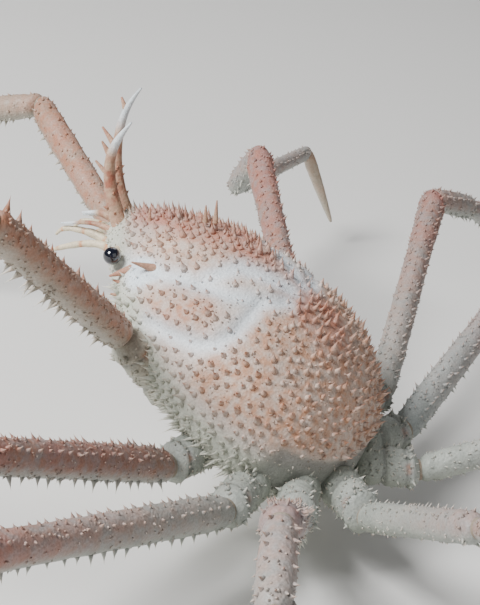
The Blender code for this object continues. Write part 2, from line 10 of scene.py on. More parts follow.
import bpy
import numpy as np
from bpy.props import FloatProperty, FloatVectorProperty, IntProperty, PointerProperty
from mathutils import Matrix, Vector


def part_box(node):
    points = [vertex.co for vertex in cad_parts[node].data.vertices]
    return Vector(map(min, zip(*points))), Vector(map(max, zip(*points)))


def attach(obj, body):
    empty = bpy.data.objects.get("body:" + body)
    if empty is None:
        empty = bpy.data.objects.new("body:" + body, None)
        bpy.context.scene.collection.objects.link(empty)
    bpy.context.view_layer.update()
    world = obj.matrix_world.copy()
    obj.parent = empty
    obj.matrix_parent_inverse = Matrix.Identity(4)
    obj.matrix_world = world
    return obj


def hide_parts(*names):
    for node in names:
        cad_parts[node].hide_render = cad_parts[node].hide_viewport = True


bl_info = {
    "name": "Carrier Crab",
    "version": (1, 0, 0),
    "blender": (4, 5, 0),
    "location": "View3D > Sidebar > Crab",
    "description": "Builds the shell, limbs and face of a deep-sea carrier crab over its solids",
    "category": "Add Mesh",
}

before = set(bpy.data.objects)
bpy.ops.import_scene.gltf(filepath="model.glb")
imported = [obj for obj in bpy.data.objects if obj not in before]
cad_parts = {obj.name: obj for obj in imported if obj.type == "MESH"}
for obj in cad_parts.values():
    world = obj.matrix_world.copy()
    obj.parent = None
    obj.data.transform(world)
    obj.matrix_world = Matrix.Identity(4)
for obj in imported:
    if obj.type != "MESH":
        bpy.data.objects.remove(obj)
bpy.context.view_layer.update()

MM = 0.001

# Limbs: where each leaves the body and its second joint, in the body's axes on the right side
COXAE = {1: (0.0255, -0.0015, -0.0075), 2: (0.028, -0.017, -0.0065), 3: (0.0250, -0.033, -0.0045),
         4: (0.0165, -0.0425, -0.0005), 5: (0.0070, -0.0480, 0.003)}
HIPS = {1: (0.035, 0.022, -0.0008), 2: (0.0435, -0.0147, -0.0122), 3: (0.0517, -0.0359, -0.0006),
        4: (0.0369, -0.0503, 0.0052), 5: (0.0188, -0.0628, 0.0111)}
RIGHT_ARM_HIP = (0.0168, 0.026, -0.020)

# Limb pieces past the base: name, yaw forward from straight out, rise, length in metres
CHAINS = {
    (2, -1): (("merus", 7, 21.4, 0.112), ("carpus", 24, 2, 0.028), ("propodus", 45, -38, 0.086)),
    (2, 1): (("merus", 40.8, 20, 0.112), ("carpus", 47.5, -45.9, 0.026), ("propodus", 7.3, -4.8, 0.086)),
    (3, -1): (("merus", 10, 13.4, 0.112), ("carpus", 4, 2, 0.028), ("propodus", -4, -26, 0.086)),
    (3, 1): (("merus", 17.2, 17.5, 0.112), ("carpus", -14, -16, 0.028), ("propodus", -6, -25, 0.086)),
    (4, -1): (("merus", -20.5, 28.6, 0.110), ("carpus", -26, -8, 0.028), ("propodus", -34, -37, 0.084)),
    (4, 1): (("merus", 1, 13.5, 0.110), ("carpus", -8, 0, 0.028), ("propodus", -16, -25, 0.084)),
    (1, -1): (("merus", 0, 37.2, 0.088), ("carpus", 30, 14, 0.026), ("palm", 72, -24, 0.078)),
    (1, 1): (("merus", 64.5, 22.7, 0.104), ("carpus", 100, -18, 0.024), ("palm", 120, -38, 0.078)),
    (5, -1): (("merus", -47.3, 29, 0.068), ("carpus", -66, 22, 0.030), ("hand", -90, -6, 0.040)),
    (5, 1): (("merus", -55, 22, 0.068), ("carpus", -40, 20, 0.030), ("hand", -18, -8, 0.040)),
}
LIFTED_CLAW = (-64, -62.4, 0.034)
FOOT_LEAN = 0.012
FINGER_LENGTH = 0.027

# Cross-sections of the limb pieces: fraction of the length, half width, half depth in millimetres
PLAIN = {
    "base": ((0, 5.2, 5.6), (0.28, 6.3, 6.7), (0.42, 5.3, 5.6), (0.56, 5.9, 6.2), (0.86, 5.6, 5.9), (1, 4.4, 4.6)),
    "merus": ((0, 4.0, 4.2), (0.07, 4.7, 5.2), (0.3, 4.6, 5.1), (0.7, 4.4, 4.9), (0.93, 5.1, 5.5), (1, 4.1, 4.3)),
    "carpus": ((0, 3.6, 3.8), (0.3, 4.2, 4.5), (0.75, 4.3, 4.6), (1, 3.3, 3.5)),
    "propodus": ((0, 3.1, 3.3), (0.12, 3.6, 3.9), (0.6, 3.1, 3.4), (0.93, 2.9, 3.2), (1, 2.4, 2.6)),
    "dactylus": ((0, 2.2, 2.4), (0.15, 2.5, 2.8), (0.5, 2.0, 2.2), (0.8, 1.3, 1.4), (1, 0.7, 0.7)),
}
ARM = dict(PLAIN,
           merus=((0, 4.0, 4.2), (0.08, 4.7, 5.1), (0.5, 4.4, 4.8), (0.9, 4.6, 5.0), (1, 3.8, 4.0)),
           palm=((0, 3.0, 3.2), (0.12, 3.7, 4.0), (0.5, 3.7, 4.2), (0.85, 4.0, 5.0), (1, 3.4, 4.4)),
           finger=PLAIN["dactylus"])
HIND = dict(PLAIN,
            merus=((0, 3.6, 3.8), (0.1, 4.2, 4.5), (0.6, 4.0, 4.3), (0.9, 4.1, 4.4), (1, 3.3, 3.5)),
            carpus=((0, 3.0, 3.2), (0.5, 3.4, 3.7), (1, 2.6, 2.8)),
            hand=((0, 2.4, 2.6), (0.2, 3.0, 3.3), (0.6, 2.6, 3.0), (0.8, 2.0, 2.6), (1, 0.9, 1.0)))
SECTIONS = {1: ARM, 2: PLAIN, 3: PLAIN, 4: PLAIN, 5: HIND}
JOINT_GAP = 0.00015
LIMB_SIDES = 44
END_ROUNDING = 0.0024
SPINE_TAPER = 1.7
SKIN_ROWS = 18
SKIN_SIDES = 28
RIM_LENGTHS = (0.0010, 0.0022)
GRANULE_LENGTHS = (0.0005, 0.0011)
GRANULE_RADII = (0.0003, 0.0005)

# Ridges and grooves round a limb piece: share of its length, share of its radius, reach as a share
RIDGES = {
    "base": ((0.20, 0.07, 0.04), (0.42, -0.10, 0.03), (0.50, 0.08, 0.03), (0.79, -0.09, 0.025), (0.88, 0.10, 0.035)),
    "merus": ((0.035, 0.05, 0.012), (0.065, -0.05, 0.012), (0.905, -0.04, 0.012), (0.945, 0.07, 0.016)),
    "carpus": ((0.10, 0.06, 0.04), (0.22, -0.04, 0.04), (0.88, 0.07, 0.04)),
    "propodus": ((0.05, 0.05, 0.015), (0.95, 0.06, 0.015)),
}

# Spine rows on limb pieces: angle round from the front edge over the top in degrees, spacing,
# length and foot radius in millimetres, lean to the far end, warmth of the tip
LEG_ROWS = ((50, 4.2, 3.0, 0.85, 0.5, 0.7), (95, 5.0, 2.2, 0.7, 0.5, 0.8), (140, 4.2, 2.8, 0.85, 0.5, 0.6),
            (235, 5.4, 4.0, 0.9, 0.3, 0.0), (300, 5.6, 4.8, 1.0, 0.3, 0.0))
ARM_ROWS = ((30, 6.0, 1.7, 0.6, 0.4, 0.6), (85, 7.0, 3.0, 1.0, 0.4, 0.9), (150, 6.0, 1.6, 0.6, 0.3, 0.5),
            (278, 5.5, 4.6, 0.9, 0.2, 0.0), (308, 5.5, 5.0, 0.9, 0.2, 0.0))
SHANK_ROWS = ((50, 5.0, 1.5, 0.5, 0.7, 0.5), (140, 5.0, 1.5, 0.5, 0.7, 0.5), (270, 6.0, 2.0, 0.5, 0.5, 0.1))
BASE_ROWS = ((20, 4.0, 1.7, 0.7, 0.1, 0.1), (70, 4.0, 1.5, 0.7, 0.1, 0.2), (120, 4.0, 1.6, 0.7, 0.1, 0.1),
             (200, 4.5, 1.9, 0.7, 0.1, 0.0), (310, 4.5, 1.9, 0.7, 0.1, 0.0))
HIND_ROWS = ((40, 4.0, 2.2, 0.6, 0.3, 0.1), (110, 4.5, 2.4, 0.6, 0.3, 0.1), (160, 4.0, 2.0, 0.6, 0.3, 0.1),
             (250, 5.0, 2.0, 0.6, 0.3, 0.0))

# Size of the spines of a limb by its number and side, and of all others
SPINE_SCALE = {(1, -1): 1.0, (2, -1): 0.95, (1, 1): 0.5}
USUAL_SCALE = 0.7
GRANULE_DENSITY = 1.1
BASE_RIM = 9
LIMB_RIM = 11

# How far a limb piece is warm, rose and green at its near and far ends, and how specked
TINTS = {
    ("leg2", "merus"): ((0.85, 1.00), (0.60, 0.80), (0.10, 0.0), 0.5),
    ("leg3", "merus"): ((0.20, 0.90), (0.15, 0.90), (0.35, 0.0), 0.4),
    ("leg4", "merus"): ((0.00, 0.45), (0.00, 0.70), (0.30, 0.0), 0.9),
    ("leg5", "merus"): ((0.00, 0.35), (0.00, 0.45), (0.60, 0.1), 0.3),
    ("cheliped", "merus"): ((0.90, 1.00), (0.40, 0.50), (0.10, 0.0), 0.3),
}
BASE_TINT = ((0.0, 0.15), (0.0, 0.0), (0.75, 0.45), 0.6)
FAR_TINT = ((0.60, 0.30), (0.45, 0.25), (0.10, 0.25), 0.4)

# Carapace: grooves, swellings and patches in the body's axes on the right side, in millimetres
NECK_GROOVE = ((18, 40, 5), (22.4, 29, 15.3), (21.6, 18.7, 23), (20.1, 10.5, 26.9), (15.5, 3.0, 30.2), (9, -1, 32.5))
GILL_GROOVE = ((30.8, 21, 6), (32.8, 12.2, 11.4), (32.7, 5, 15.6), (30.9, 1.6, 19.3), (26.4, 0.5, 24.2),
               (20, 2, 28.3), (15.5, 3.0, 30.2))
STOMACH_GROOVE = ((21, 19, 23), (11.2, 15.5, 29.8), (6.9, 7.8, 32.4), (3.5, 1, 33.4))
GROOVES = ((NECK_GROOVE, 1.0, 2.6), (GILL_GROOVE, 1.0, 2.2), (STOMACH_GROOVE, 0.7, 2.8))
SWELLINGS = (((27, -20, 22), 1.3, 20), ((0, 22, 29), 1.0, 12), ((28.5, 12, 17), 0.9, 7), ((0, -18, 33), 0.6, 8),
             ((30, 22, 8), 0.6, 6), ((22.4, 33.8, 9.2), 0.7, 4.5))
GROOVE_SPREAD = 1.35
RIM_HEIGHT = 0.9
BAND_DEPTH = 0.9
SMOOTH_PATCH = ((22.4, 33.8, 9.2), 5.4)
ROSE_PATCH = ((28.5, 13, 17), 9.0)

# Carapace spines: lean to the front, size of a big one, and share of big ones off and on the middle of the back
TUBERCLE_LEAN = (0, 0.45, 0.1)
GRANULE_LEAN = (0, 0.3, 0)
BIG_SIZE = 1.65
BIG_SHARES = (0.08, 0.12)

# Long carapace spines: paths in the body's axes and half thickness at each point
MIDDLE_HORNS = (
    (((-0.0042, 0.050, 0.002), (-0.0050, 0.0585, 0.0063), (-0.0050, 0.0630, 0.0106), (-0.0055, 0.0675, 0.0149),
      (-0.0060, 0.0701, 0.0208), (-0.0070, 0.0698, 0.0269), (-0.0080, 0.0694, 0.0330)),
     (0.0028, 0.0025, 0.0019, 0.0017, 0.0015, 0.0010, 0.0003)),
    (((-0.0060, 0.0697, 0.0186), (-0.0070, 0.0732, 0.0202)), (0.0010, 0.0003)),
    (((-0.0055, 0.0670, 0.0128), (-0.0060, 0.0713, 0.0132)), (0.0008, 0.0003)),
    (((0.0042, 0.050, 0.000), (0.0045, 0.0597, 0.0026), (0.0045, 0.0651, 0.0074), (0.0045, 0.0707, 0.0130),
      (0.0045, 0.0749, 0.0198), (0.0045, 0.0781, 0.0264), (0.0045, 0.0782, 0.0316), (0.0045, 0.0778, 0.0360)),
     (0.0028, 0.0024, 0.0018, 0.0016, 0.0014, 0.0012, 0.0008, 0.0003)),
    (((0.0045, 0.0738, 0.0154), (0.0040, 0.0796, 0.0167)), (0.0010, 0.0003)),
    (((0.0045, 0.0778, 0.0270), (0.0045, 0.0809, 0.0287)), (0.0009, 0.0003)),
    (((0.0, 0.051, 0.001), (0.0, 0.0598, -0.0007), (0.0, 0.0659, -0.0074)), (0.0018, 0.0014, 0.0003)),
    (((-0.0050, 0.053, 0.0005), (-0.0060, 0.0594, -0.0025), (-0.0060, 0.0671, -0.0119)), (0.0011, 0.0008, 0.0003)),
    (((0.0050, 0.053, -0.0005), (0.0060, 0.0594, -0.0025), (0.0060, 0.0671, -0.0119)), (0.0011, 0.0008, 0.0003)),
    (((-0.0020, 0.0315, 0.0280), (-0.0020, 0.0357, 0.0337)), (0.0009, 0.0002)),
    (((-0.0020, 0.0340, 0.0255), (-0.0020, 0.0372, 0.0297)), (0.0009, 0.0002)),
    (((-0.0060, 0.0450, 0.0120), (-0.0060, 0.0488, 0.0169)), (0.0009, 0.0002)),
    (((-0.0040, 0.0415, 0.0140), (-0.0040, 0.0450, 0.0177)), (0.0009, 0.0002)),
)
PAIRED_HORNS = (
    (((-0.0175, 0.0370, 0.0060), (-0.0240, 0.0398, 0.0018)), (0.0018, 0.0003)),
    (((-0.0195, 0.033, 0.003), (-0.0225, 0.0385, 0.0008)), (0.0012, 0.0003)),
    (((-0.0205, 0.031, 0.001), (-0.0240, 0.0360, -0.0022)), (0.0012, 0.0003)),
    (((-0.0160, 0.0285, 0.0135), (-0.0248, 0.0373, 0.0117)), (0.0023, 0.0002)),
)
THICK_HORN = 0.0024
HORN_ROWS = 40
HORN_SIDES = 16
HORN_GRANULES = 16

# Face: points in the body's axes on the left side
EYE_CENTRE = (-0.0197, 0.0443, 0.0043)
EYE_RADIUS = 0.0027
STALK_ROOT = (-0.011, 0.046, 0.002)
STALK_RADIUS = 0.0016
ANTENNULE = (((-0.004, 0.049, -0.0035), (-0.004, 0.054, -0.0050), (-0.0042, 0.0575, -0.0062),
              (-0.0046, 0.0605, -0.0084), (-0.005, 0.0635, -0.0105), (-0.005, 0.0658, -0.0128),
              (-0.005, 0.0673, -0.0150), (-0.005, 0.0664, -0.0169)),
             (0.0015, 0.0017, 0.0015, 0.0010, 0.0009, 0.0009, 0.0007, 0.0004))
ANTENNA = (((-0.008, 0.046, -0.002), (-0.009, 0.0518, -0.0027), (-0.010, 0.0552, -0.0062),
            (-0.011, 0.0589, -0.0112), (-0.011, 0.0612, -0.0154), (-0.011, 0.0632, -0.0192)),
           (0.0014, 0.0013, 0.0011, 0.0010, 0.0008, 0.0003))

# Plates under the body: piece, node, start and end in t, rows, widths and lifts at values of t, thickness, seams
PLATES = (
    ("sternum_plate", "sternum", 1.30, 2.25, 90, ((1.30, 0.005), (1.585, 0.009), (2.25, 0.009)), ((1.30, 0.0003),),
     0.0035, 4),
    ("pleon_plate", "pleon", 1.42, math.pi - 0.02, 140,
     ((1.42, 0.0025), (1.7, 0.0055), (2.6, 0.0060), (math.pi, 0.0052)), ((2.25, 0.0044), (2.45, 0.0006)), 0.0030, 6),
    ("maxilliped_plates", "maxillipeds", 0.66, 1.20, 70, ((0.66, 0.003), (0.93, 0.0065), (1.20, 0.006)),
     ((0.66, 0.0003),), 0.0030, 2),
)

# Shell pattern: repeats for each metre, and depth of the bump
PATTERN_SCALES = {"broad": 95.0, "blotch": 380.0, "fine": 1700.0, "cells": 1150.0, "dots": 620.0}
BUMP_DEPTH = 0.0006

# Lights by name: place from the body's middle and width of the square in metres
LIGHTS = {"key": ((-0.8, 0.55, 1.0), 0.55), "fill": ((-0.5, -1.1, 0.7), 1.2), "rim": ((0.9, 0.5, 0.9), 0.8)}
SKY_COLOUR = (0.93, 0.95, 1.0, 1)
FLOOR_REACH = 12.0

# The photograph's frame, and where the middle of the body stands in it
IMAGE_WIDTH = 480
IMAGE_HEIGHT = 605
BODY_PIXEL = (233.4, 356.0)
SENSOR = 36.0


def srgb(red, green, blue):
    """Linear colour of three values from 0 to 255."""
    return tuple(((value / 255 + 0.055) / 1.055) ** 2.4 for value in (red, green, blue))


# Colours of one finish that differ from the shell's own; the legs' and arms' are darker, partly their own tone and
# partly painted shade
SHADE_DARKENED_LEG_COLOURS = {"white": srgb(160, 167, 169), "warm": srgb(172, 126, 102), "rose": srgb(156, 102, 92),
               "green": srgb(164, 168, 152), "pale": srgb(176, 182, 180)}
SHADE_DARKENED_ARM_COLOURS = {"white": srgb(178, 164, 150), "warm": srgb(178, 128, 98), "rose": srgb(158, 102, 86),
               "green": srgb(168, 170, 154), "pale": srgb(184, 184, 176)}
HORN_COLOURS = {"white": srgb(204, 178, 150), "warm": srgb(152, 84, 64)}
CLAW_COLOURS = {"white": srgb(206, 196, 176), "warm": srgb(190, 160, 128)}
SKIN_WHITE = srgb(156, 148, 134)
FEELER_WARM = srgb(205, 120, 58)


def colour_setting(name, text, value):
    """A colour property, given from 0 to 255."""
    return FloatVectorProperty(name=name, description=text, subtype="COLOR", size=3, min=0, max=1,
                               default=srgb(*value))


def length_setting(name, text, value):
    """A length property in metres."""
    return FloatProperty(name=name, description=text, default=value, min=0, unit="LENGTH", precision=4)


class CrabBody(bpy.types.PropertyGroup):
    """Sizes of the carapace, which match the solid's."""
    front_reach: length_setting("Front reach", "From the body's middle to its front end", 0.057)
    rear_reach: length_setting("Rear reach", "From the body's middle to its rear end", 0.051)
    half_width: length_setting("Half width", "Half of the carapace's greatest width", 0.0375)
    back_height: length_setting("Back height", "From the middle up to the back", 0.0335)
    belly_depth: length_setting("Belly depth", "From the middle down to the belly", 0.0135)
    front_narrowing: FloatProperty(name="Front narrowing", description="Share of width lost to the front", default=0.30)
    face_narrowing: FloatProperty(name="Face narrowing", description="Further share of width lost at the face",
                                  default=0.25)
    back_fall: FloatProperty(name="Back fall", description="Share of height lost to the front", default=0.20)
    back_rise: FloatProperty(name="Back rise", description="Share of height gained to the rear", default=0.05)
    face_fall: FloatProperty(name="Face fall", description="Further share of height lost at the face", default=0.18)
    belly_fall: FloatProperty(name="Belly fall", description="Share of belly depth lost to the front", default=0.45)
    pitch: FloatProperty(name="Pitch", description="How far the front is raised", default=math.radians(32),
                         subtype="ANGLE")
    level: length_setting("Level", "Height of the body's middle above the floor", 0.046)


class CrabSpines(bpy.types.PropertyGroup):
    """Sizes of the tubercles and spines."""
    seed: IntProperty(name="Seed", description="Start of the random draws", default=5)
    spacing: length_setting("Spacing", "Distance between tubercles on the gill regions", 0.0029)
    height: length_setting("Height", "Height of a tubercle on the gill regions", 0.0025)
    radius: length_setting("Radius", "Foot radius of a tubercle on the gill regions", 0.00108)
    sides: IntProperty(name="Sides", description="Sides of a spine", default=7, min=3)
    rings: IntProperty(name="Rings", description="Rings of a spine", default=5, min=2)


class CrabColours(bpy.types.PropertyGroup):
    """Colours of the shell, skin and eyes."""
    white: colour_setting("White", "Ground colour of the shell", (210, 198, 188))
    warm: colour_setting("Peach", "Gill regions and upper faces of the limbs", (190, 138, 104))
    rose: colour_setting("Rose", "Middle of the back and far ends of the limbs", (172, 106, 88))
    pale: colour_setting("Bluish white", "Smooth grooves", (222, 233, 240))
    green: colour_setting("Greenish white", "Flanks and limb bases", (196, 200, 186))
    tip: colour_setting("Orange brown", "Tips of the upper tubercles", (158, 84, 46))
    tip_pale: colour_setting("Tip white", "Tips of the lower spines", (230, 226, 212))
    speck: colour_setting("Speck", "Small dark specks", (58, 42, 30))
    # Grey is painted shade, laid on the band round the rear and in the folds of the limb bases
    grey: colour_setting("Painted shade grey", "Band round the rear and folds of the limb bases", (118, 120, 116))
    skin: colour_setting("Joint skin", "Skin between limb pieces", (132, 106, 84))
    horn: colour_setting("Horn cream", "Feelers and eye stalks", (222, 208, 180))
    eye: colour_setting("Eye", "Eyes", (9, 12, 26))
    floor: colour_setting("Floor", "Studio floor", (226, 225, 222))


class CrabStage(bpy.types.PropertyGroup):
    """Camera and lights."""
    distance: length_setting("Distance", "From the camera to the body's middle", 0.5)
    lens: FloatProperty(name="Lens", description="Focal length in millimetres", default=97.5)
    azimuth: FloatProperty(name="Azimuth", description="Direction of the camera from the crab, from X",
                           default=math.radians(205.86), subtype="ANGLE")
    elevation: FloatProperty(name="Elevation", description="Height angle of the camera", default=math.radians(24.62),
                             subtype="ANGLE")
    roll: FloatProperty(name="Roll", description="Turn of the camera about its view", default=math.radians(9.09),
                        subtype="ANGLE")
    key: FloatProperty(name="Key light", description="Power of the key light in watts", default=40.0)
    fill: FloatProperty(name="Fill light", description="Power of the fill light in watts", default=4.0)
    sky: FloatProperty(name="Sky", description="Strength of the soft light from all round", default=0.14)


def unit(vectors):
    """Vectors at length 1."""
    vectors = np.asarray(vectors, float)
    return vectors / np.maximum(np.linalg.norm(vectors, axis=-1, keepdims=True), 1e-12)


def smooth(low, high, value):
    """0 below low, 1 above high, with a soft step between."""
    share = np.clip((value - low) / (high - low), 0, 1)
    return share * share * (3 - 2 * share)


class Surface:
    """Points, triangles and two rows of colour masks for each point.

    The first row holds warm, pale, green and tip, and the second rose, heat of
    the tip, specks and the grey of painted shade.
    """

    def __init__(self, points, triangles, tint=None, mark=None):
        self.points = np.asarray(points, float).reshape(-1, 3)
        self.triangles = np.asarray(triangles, int).reshape(-1, 3)
        count = len(self.points)
        self.tint = np.zeros((count, 4)) if tint is None else np.asarray(tint, float).reshape(count, 4)
        self.mark = np.zeros((count, 4)) if mark is None else np.asarray(mark, float).reshape(count, 4)

    def outward(self):
        """Turn the triangles over if the closed surface's volume is negative."""
        a, b, c = (self.points[self.triangles[:, corner]] for corner in range(3))
        if np.einsum("ij,ij->", a, np.cross(b, c)) < 0:
            self.triangles = self.triangles[:, ::-1]
        return self


def joined(parts):
    """One surface from several."""
    offsets = np.cumsum([0] + [len(part.points) for part in parts[:-1]])
    return Surface(np.concatenate([part.points for part in parts]),
                   np.concatenate([part.triangles + offset for part, offset in zip(parts, offsets)]),
                   np.concatenate([part.tint for part in parts]), np.concatenate([part.mark for part in parts]))


def tube_faces(rows, sides):
    """Triangles of a closed tube of rings, followed by one point at each end."""
    row, column = np.meshgrid(np.arange(rows - 1), np.arange(sides), indexing="ij")
    after = (column + 1) % sides
    a, b = row * sides + column, row * sides + after
    c, d = b + sides, a + sides
    first = rows * sides
    ring = np.arange(sides)
    turn = (ring + 1) % sides
    far = (rows - 1) * sides
    return np.concatenate([
        np.stack([a, b, c], -1).reshape(-1, 3), np.stack([a, c, d], -1).reshape(-1, 3),
        np.stack([np.full(sides, first), turn, ring], -1),
        np.stack([np.full(sides, first + 1), far + ring, far + turn], -1)])


def tube(rings, tint=None, mark=None):
    """Closed surface from an array of rings; each end gets a point at its ring's middle."""
    rows, sides = rings.shape[:2]
    ends = np.stack([rings[0].mean(0), rings[-1].mean(0)])
    points = np.concatenate([rings.reshape(-1, 3), ends])

    def spread(values):
        if values is None:
            return None
        values = np.broadcast_to(values, (rows, sides, 4))
        return np.concatenate([values.reshape(-1, 4), values[0, :1], values[-1, :1]])

    return Surface(points, tube_faces(rows, sides), spread(tint), spread(mark)).outward()


def cones(feet, ways, lengths, radii, tint, mark, sides, rings, sink=0.35):
    """Spines: rings about each way, with radius = foot radius times (1 - s) to the power of the taper.

    s runs from 0 at the foot to 1 at the tip, and the foot is sunk by a share
    of its radius. The masks of each foot hold for its spine, whose tip mask is s.
    """
    feet, ways = np.asarray(feet, float), unit(ways)
    count = len(feet)
    side = unit(np.cross(ways, (0.31, 0.53, 0.79)))
    up = np.cross(ways, side)
    share = np.linspace(0, 1, rings + 1)[:-1]
    turn = np.linspace(0, 2 * np.pi, sides, endpoint=False)
    circle = np.cos(turn)[:, None] * side[:, None, :] + np.sin(turn)[:, None] * up[:, None, :]
    radius = np.asarray(radii)[:, None] * ((1 - share) ** SPINE_TAPER)[None, :]
    along = np.asarray(lengths)[:, None] * share[None, :]
    along[:, 0] -= sink * np.asarray(radii)
    body = (feet[:, None, None, :] + along[..., None, None] * ways[:, None, None, :]
            + radius[..., None, None] * circle[:, None, :, :])
    tips = feet + np.asarray(lengths)[:, None] * ways
    foot = feet - (sink * np.asarray(radii))[:, None] * ways
    points = np.concatenate([body.reshape(count, -1, 3), foot[:, None], tips[:, None]], 1)
    per = points.shape[1]
    faces = tube_faces(rings, sides)
    triangles = (faces[None] + (np.arange(count) * per)[:, None, None]).reshape(-1, 3)
    level = np.concatenate([np.repeat(share, sides), [0, 1]])
    tints = np.repeat(np.asarray(tint, float).reshape(count, 1, 4), per, 1)
    tints[..., 3] = level
    marks = np.repeat(np.asarray(mark, float).reshape(count, 1, 4), per, 1)
    return Surface(points, triangles, tints, marks).outward()


def add_piece(name, surface, material, nodes=()):
    """A mesh object of the surface, riding on the crab, in place of its solids."""
    mesh = bpy.data.meshes.new(name)
    mesh.from_pydata(surface.points, [], surface.triangles)
    for label, values in (("tint", surface.tint), ("mark", surface.mark)):
        layer = mesh.color_attributes.new(label, "FLOAT_COLOR", "POINT")
        layer.data.foreach_set("color", values.astype(np.float32).ravel())
    mesh.shade_smooth()
    mesh.materials.append(material)
    piece = bpy.data.objects.new(name, mesh)
    bpy.context.scene.collection.objects.link(piece)
    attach(piece, "root")
    if nodes:
        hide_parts(*nodes)
    return piece


def put(tree, kind, inputs=None, **settings):
    """A shader node with its settings and inputs, where an input is a value or another node's socket."""
    node = tree.nodes.new(kind)
    for key, value in settings.items():
        setattr(node, key, value)
    for key, value in (inputs or {}).items():
        if isinstance(value, bpy.types.NodeSocket):
            tree.links.new(value, node.inputs[key])
        else:
            node.inputs[key].default_value = value
    return node


def ranged(tree, value, low, high, out_low, out_high):
    """A value mapped from one range to another and held inside it."""
    return put(tree, "ShaderNodeMapRange", {"Value": value, "From Min": low, "From Max": high, "To Min": out_low,
                                            "To Max": out_high}).outputs["Result"]


def math_of(tree, operation, first, second):
    """One operation on two values."""
    return put(tree, "ShaderNodeMath", {0: first, 1: second}, operation=operation).outputs[0]


def mixed(tree, factor, first, second, blend="MIX"):
    """Two colours mixed by a factor."""
    return put(tree, "ShaderNodeMix", {0: factor, 6: first, 7: second}, data_type="RGBA",
               blend_type=blend).outputs[2]


def shell_group():
    """Node group of the mottled, granulated shell, made once."""
    name = "Crab shell"
    if name in bpy.data.node_groups:
        return bpy.data.node_groups[name]
    tree = bpy.data.node_groups.new(name, "ShaderNodeTree")
    for label in ("White", "Warm", "Rose", "Pale", "Green", "Tip", "Tip pale", "Speck", "Painted shade grey"):
        tree.interface.new_socket(label, in_out="INPUT", socket_type="NodeSocketColor")
    for label, kind in (("Color", "Color"), ("Roughness", "Float"), ("Height", "Float")):
        tree.interface.new_socket(label, in_out="OUTPUT", socket_type="NodeSocket" + kind)
    given = tree.nodes.new("NodeGroupInput").outputs
    place = tree.nodes.new("ShaderNodeTexCoord").outputs["Object"]
    tint = put(tree, "ShaderNodeAttribute", attribute_name="tint")
    mark = put(tree, "ShaderNodeAttribute", attribute_name="mark")
    warm, pale, green = put(tree, "ShaderNodeSeparateColor", {0: tint.outputs["Color"]}).outputs
    rose, heat, dirt = put(tree, "ShaderNodeSeparateColor", {0: mark.outputs["Color"]}).outputs
    tip, shade_mask = tint.outputs["Alpha"], mark.outputs["Alpha"]
    at = {name: {"Vector": place, "Scale": scale} for name, scale in PATTERN_SCALES.items()}
    broad = put(tree, "ShaderNodeTexNoise", {**at["broad"], "Detail": 3.0}).outputs[0]
    blotch = put(tree, "ShaderNodeTexNoise", {**at["blotch"], "Detail": 4.0}).outputs[0]
    fine = put(tree, "ShaderNodeTexNoise", {**at["fine"], "Detail": 3.0}).outputs[0]
    cells = put(tree, "ShaderNodeTexVoronoi", at["cells"], feature="SMOOTH_F1").outputs[0]
    dots = put(tree, "ShaderNodeTexVoronoi", at["dots"]).outputs[0]

    patch = ranged(tree, blotch, 0.36, 0.64, 0.25, 1.0)
    colour = mixed(tree, math_of(tree, "MULTIPLY", warm, patch), given["White"], given["Warm"])
    colour = mixed(tree, math_of(tree, "MULTIPLY", rose, ranged(tree, broad, 0.34, 0.62, 0.35, 1.0)), colour,
                   given["Rose"])
    colour = mixed(tree, green, colour, given["Green"])
    colour = mixed(tree, pale, colour, given["Pale"])
    # Painted shade: the grey mask lays grey over the band round the rear and the folds of the limb bases
    colour = mixed(tree, shade_mask, colour, given["Painted shade grey"])
    shade = ranged(tree, fine, 0.3, 0.7, 0.80, 1.08)
    wide = ranged(tree, broad, 0.3, 0.7, 0.82, 1.06)
    grey = math_of(tree, "MULTIPLY", shade, wide)
    colour = mixed(tree, 1.0, colour, put(tree, "ShaderNodeCombineColor", {0: grey, 1: grey, 2: grey}).outputs[0],
                   "MULTIPLY")
    tip_colour = mixed(tree, heat, given["Tip pale"], given["Tip"])
    colour = mixed(tree, ranged(tree, tip, 0.22, 0.80, 0.0, 0.95), colour, tip_colour)
    small = ranged(tree, dots, 0.10, 0.22, 1.0, 0.0)
    here = ranged(tree, broad, 0.50, 0.60, 0.0, 1.0)
    speck = math_of(tree, "MULTIPLY", math_of(tree, "MULTIPLY", small, here), dirt)
    colour = mixed(tree, speck, colour, given["Speck"])

    out = tree.nodes.new("NodeGroupOutput").inputs
    tree.links.new(colour, out["Color"])
    tree.links.new(ranged(tree, blotch, 0.3, 0.7, 0.42, 0.62), out["Roughness"])
    height = math_of(tree, "ADD", math_of(tree, "MULTIPLY", cells, 0.7), math_of(tree, "MULTIPLY", fine, 0.5))
    tree.links.new(height, out["Height"])
    return tree


def new_material(name, roughness, colour=None):
    """A Principled material, its tree and its shader node."""
    material = bpy.data.materials.new(name)
    material.use_nodes = True
    shader = material.node_tree.nodes["Principled BSDF"]
    shader.inputs["Roughness"].default_value = roughness
    if colour is not None:
        shader.inputs["Base Color"].default_value = (*colour, 1)
    return material, material.node_tree, shader


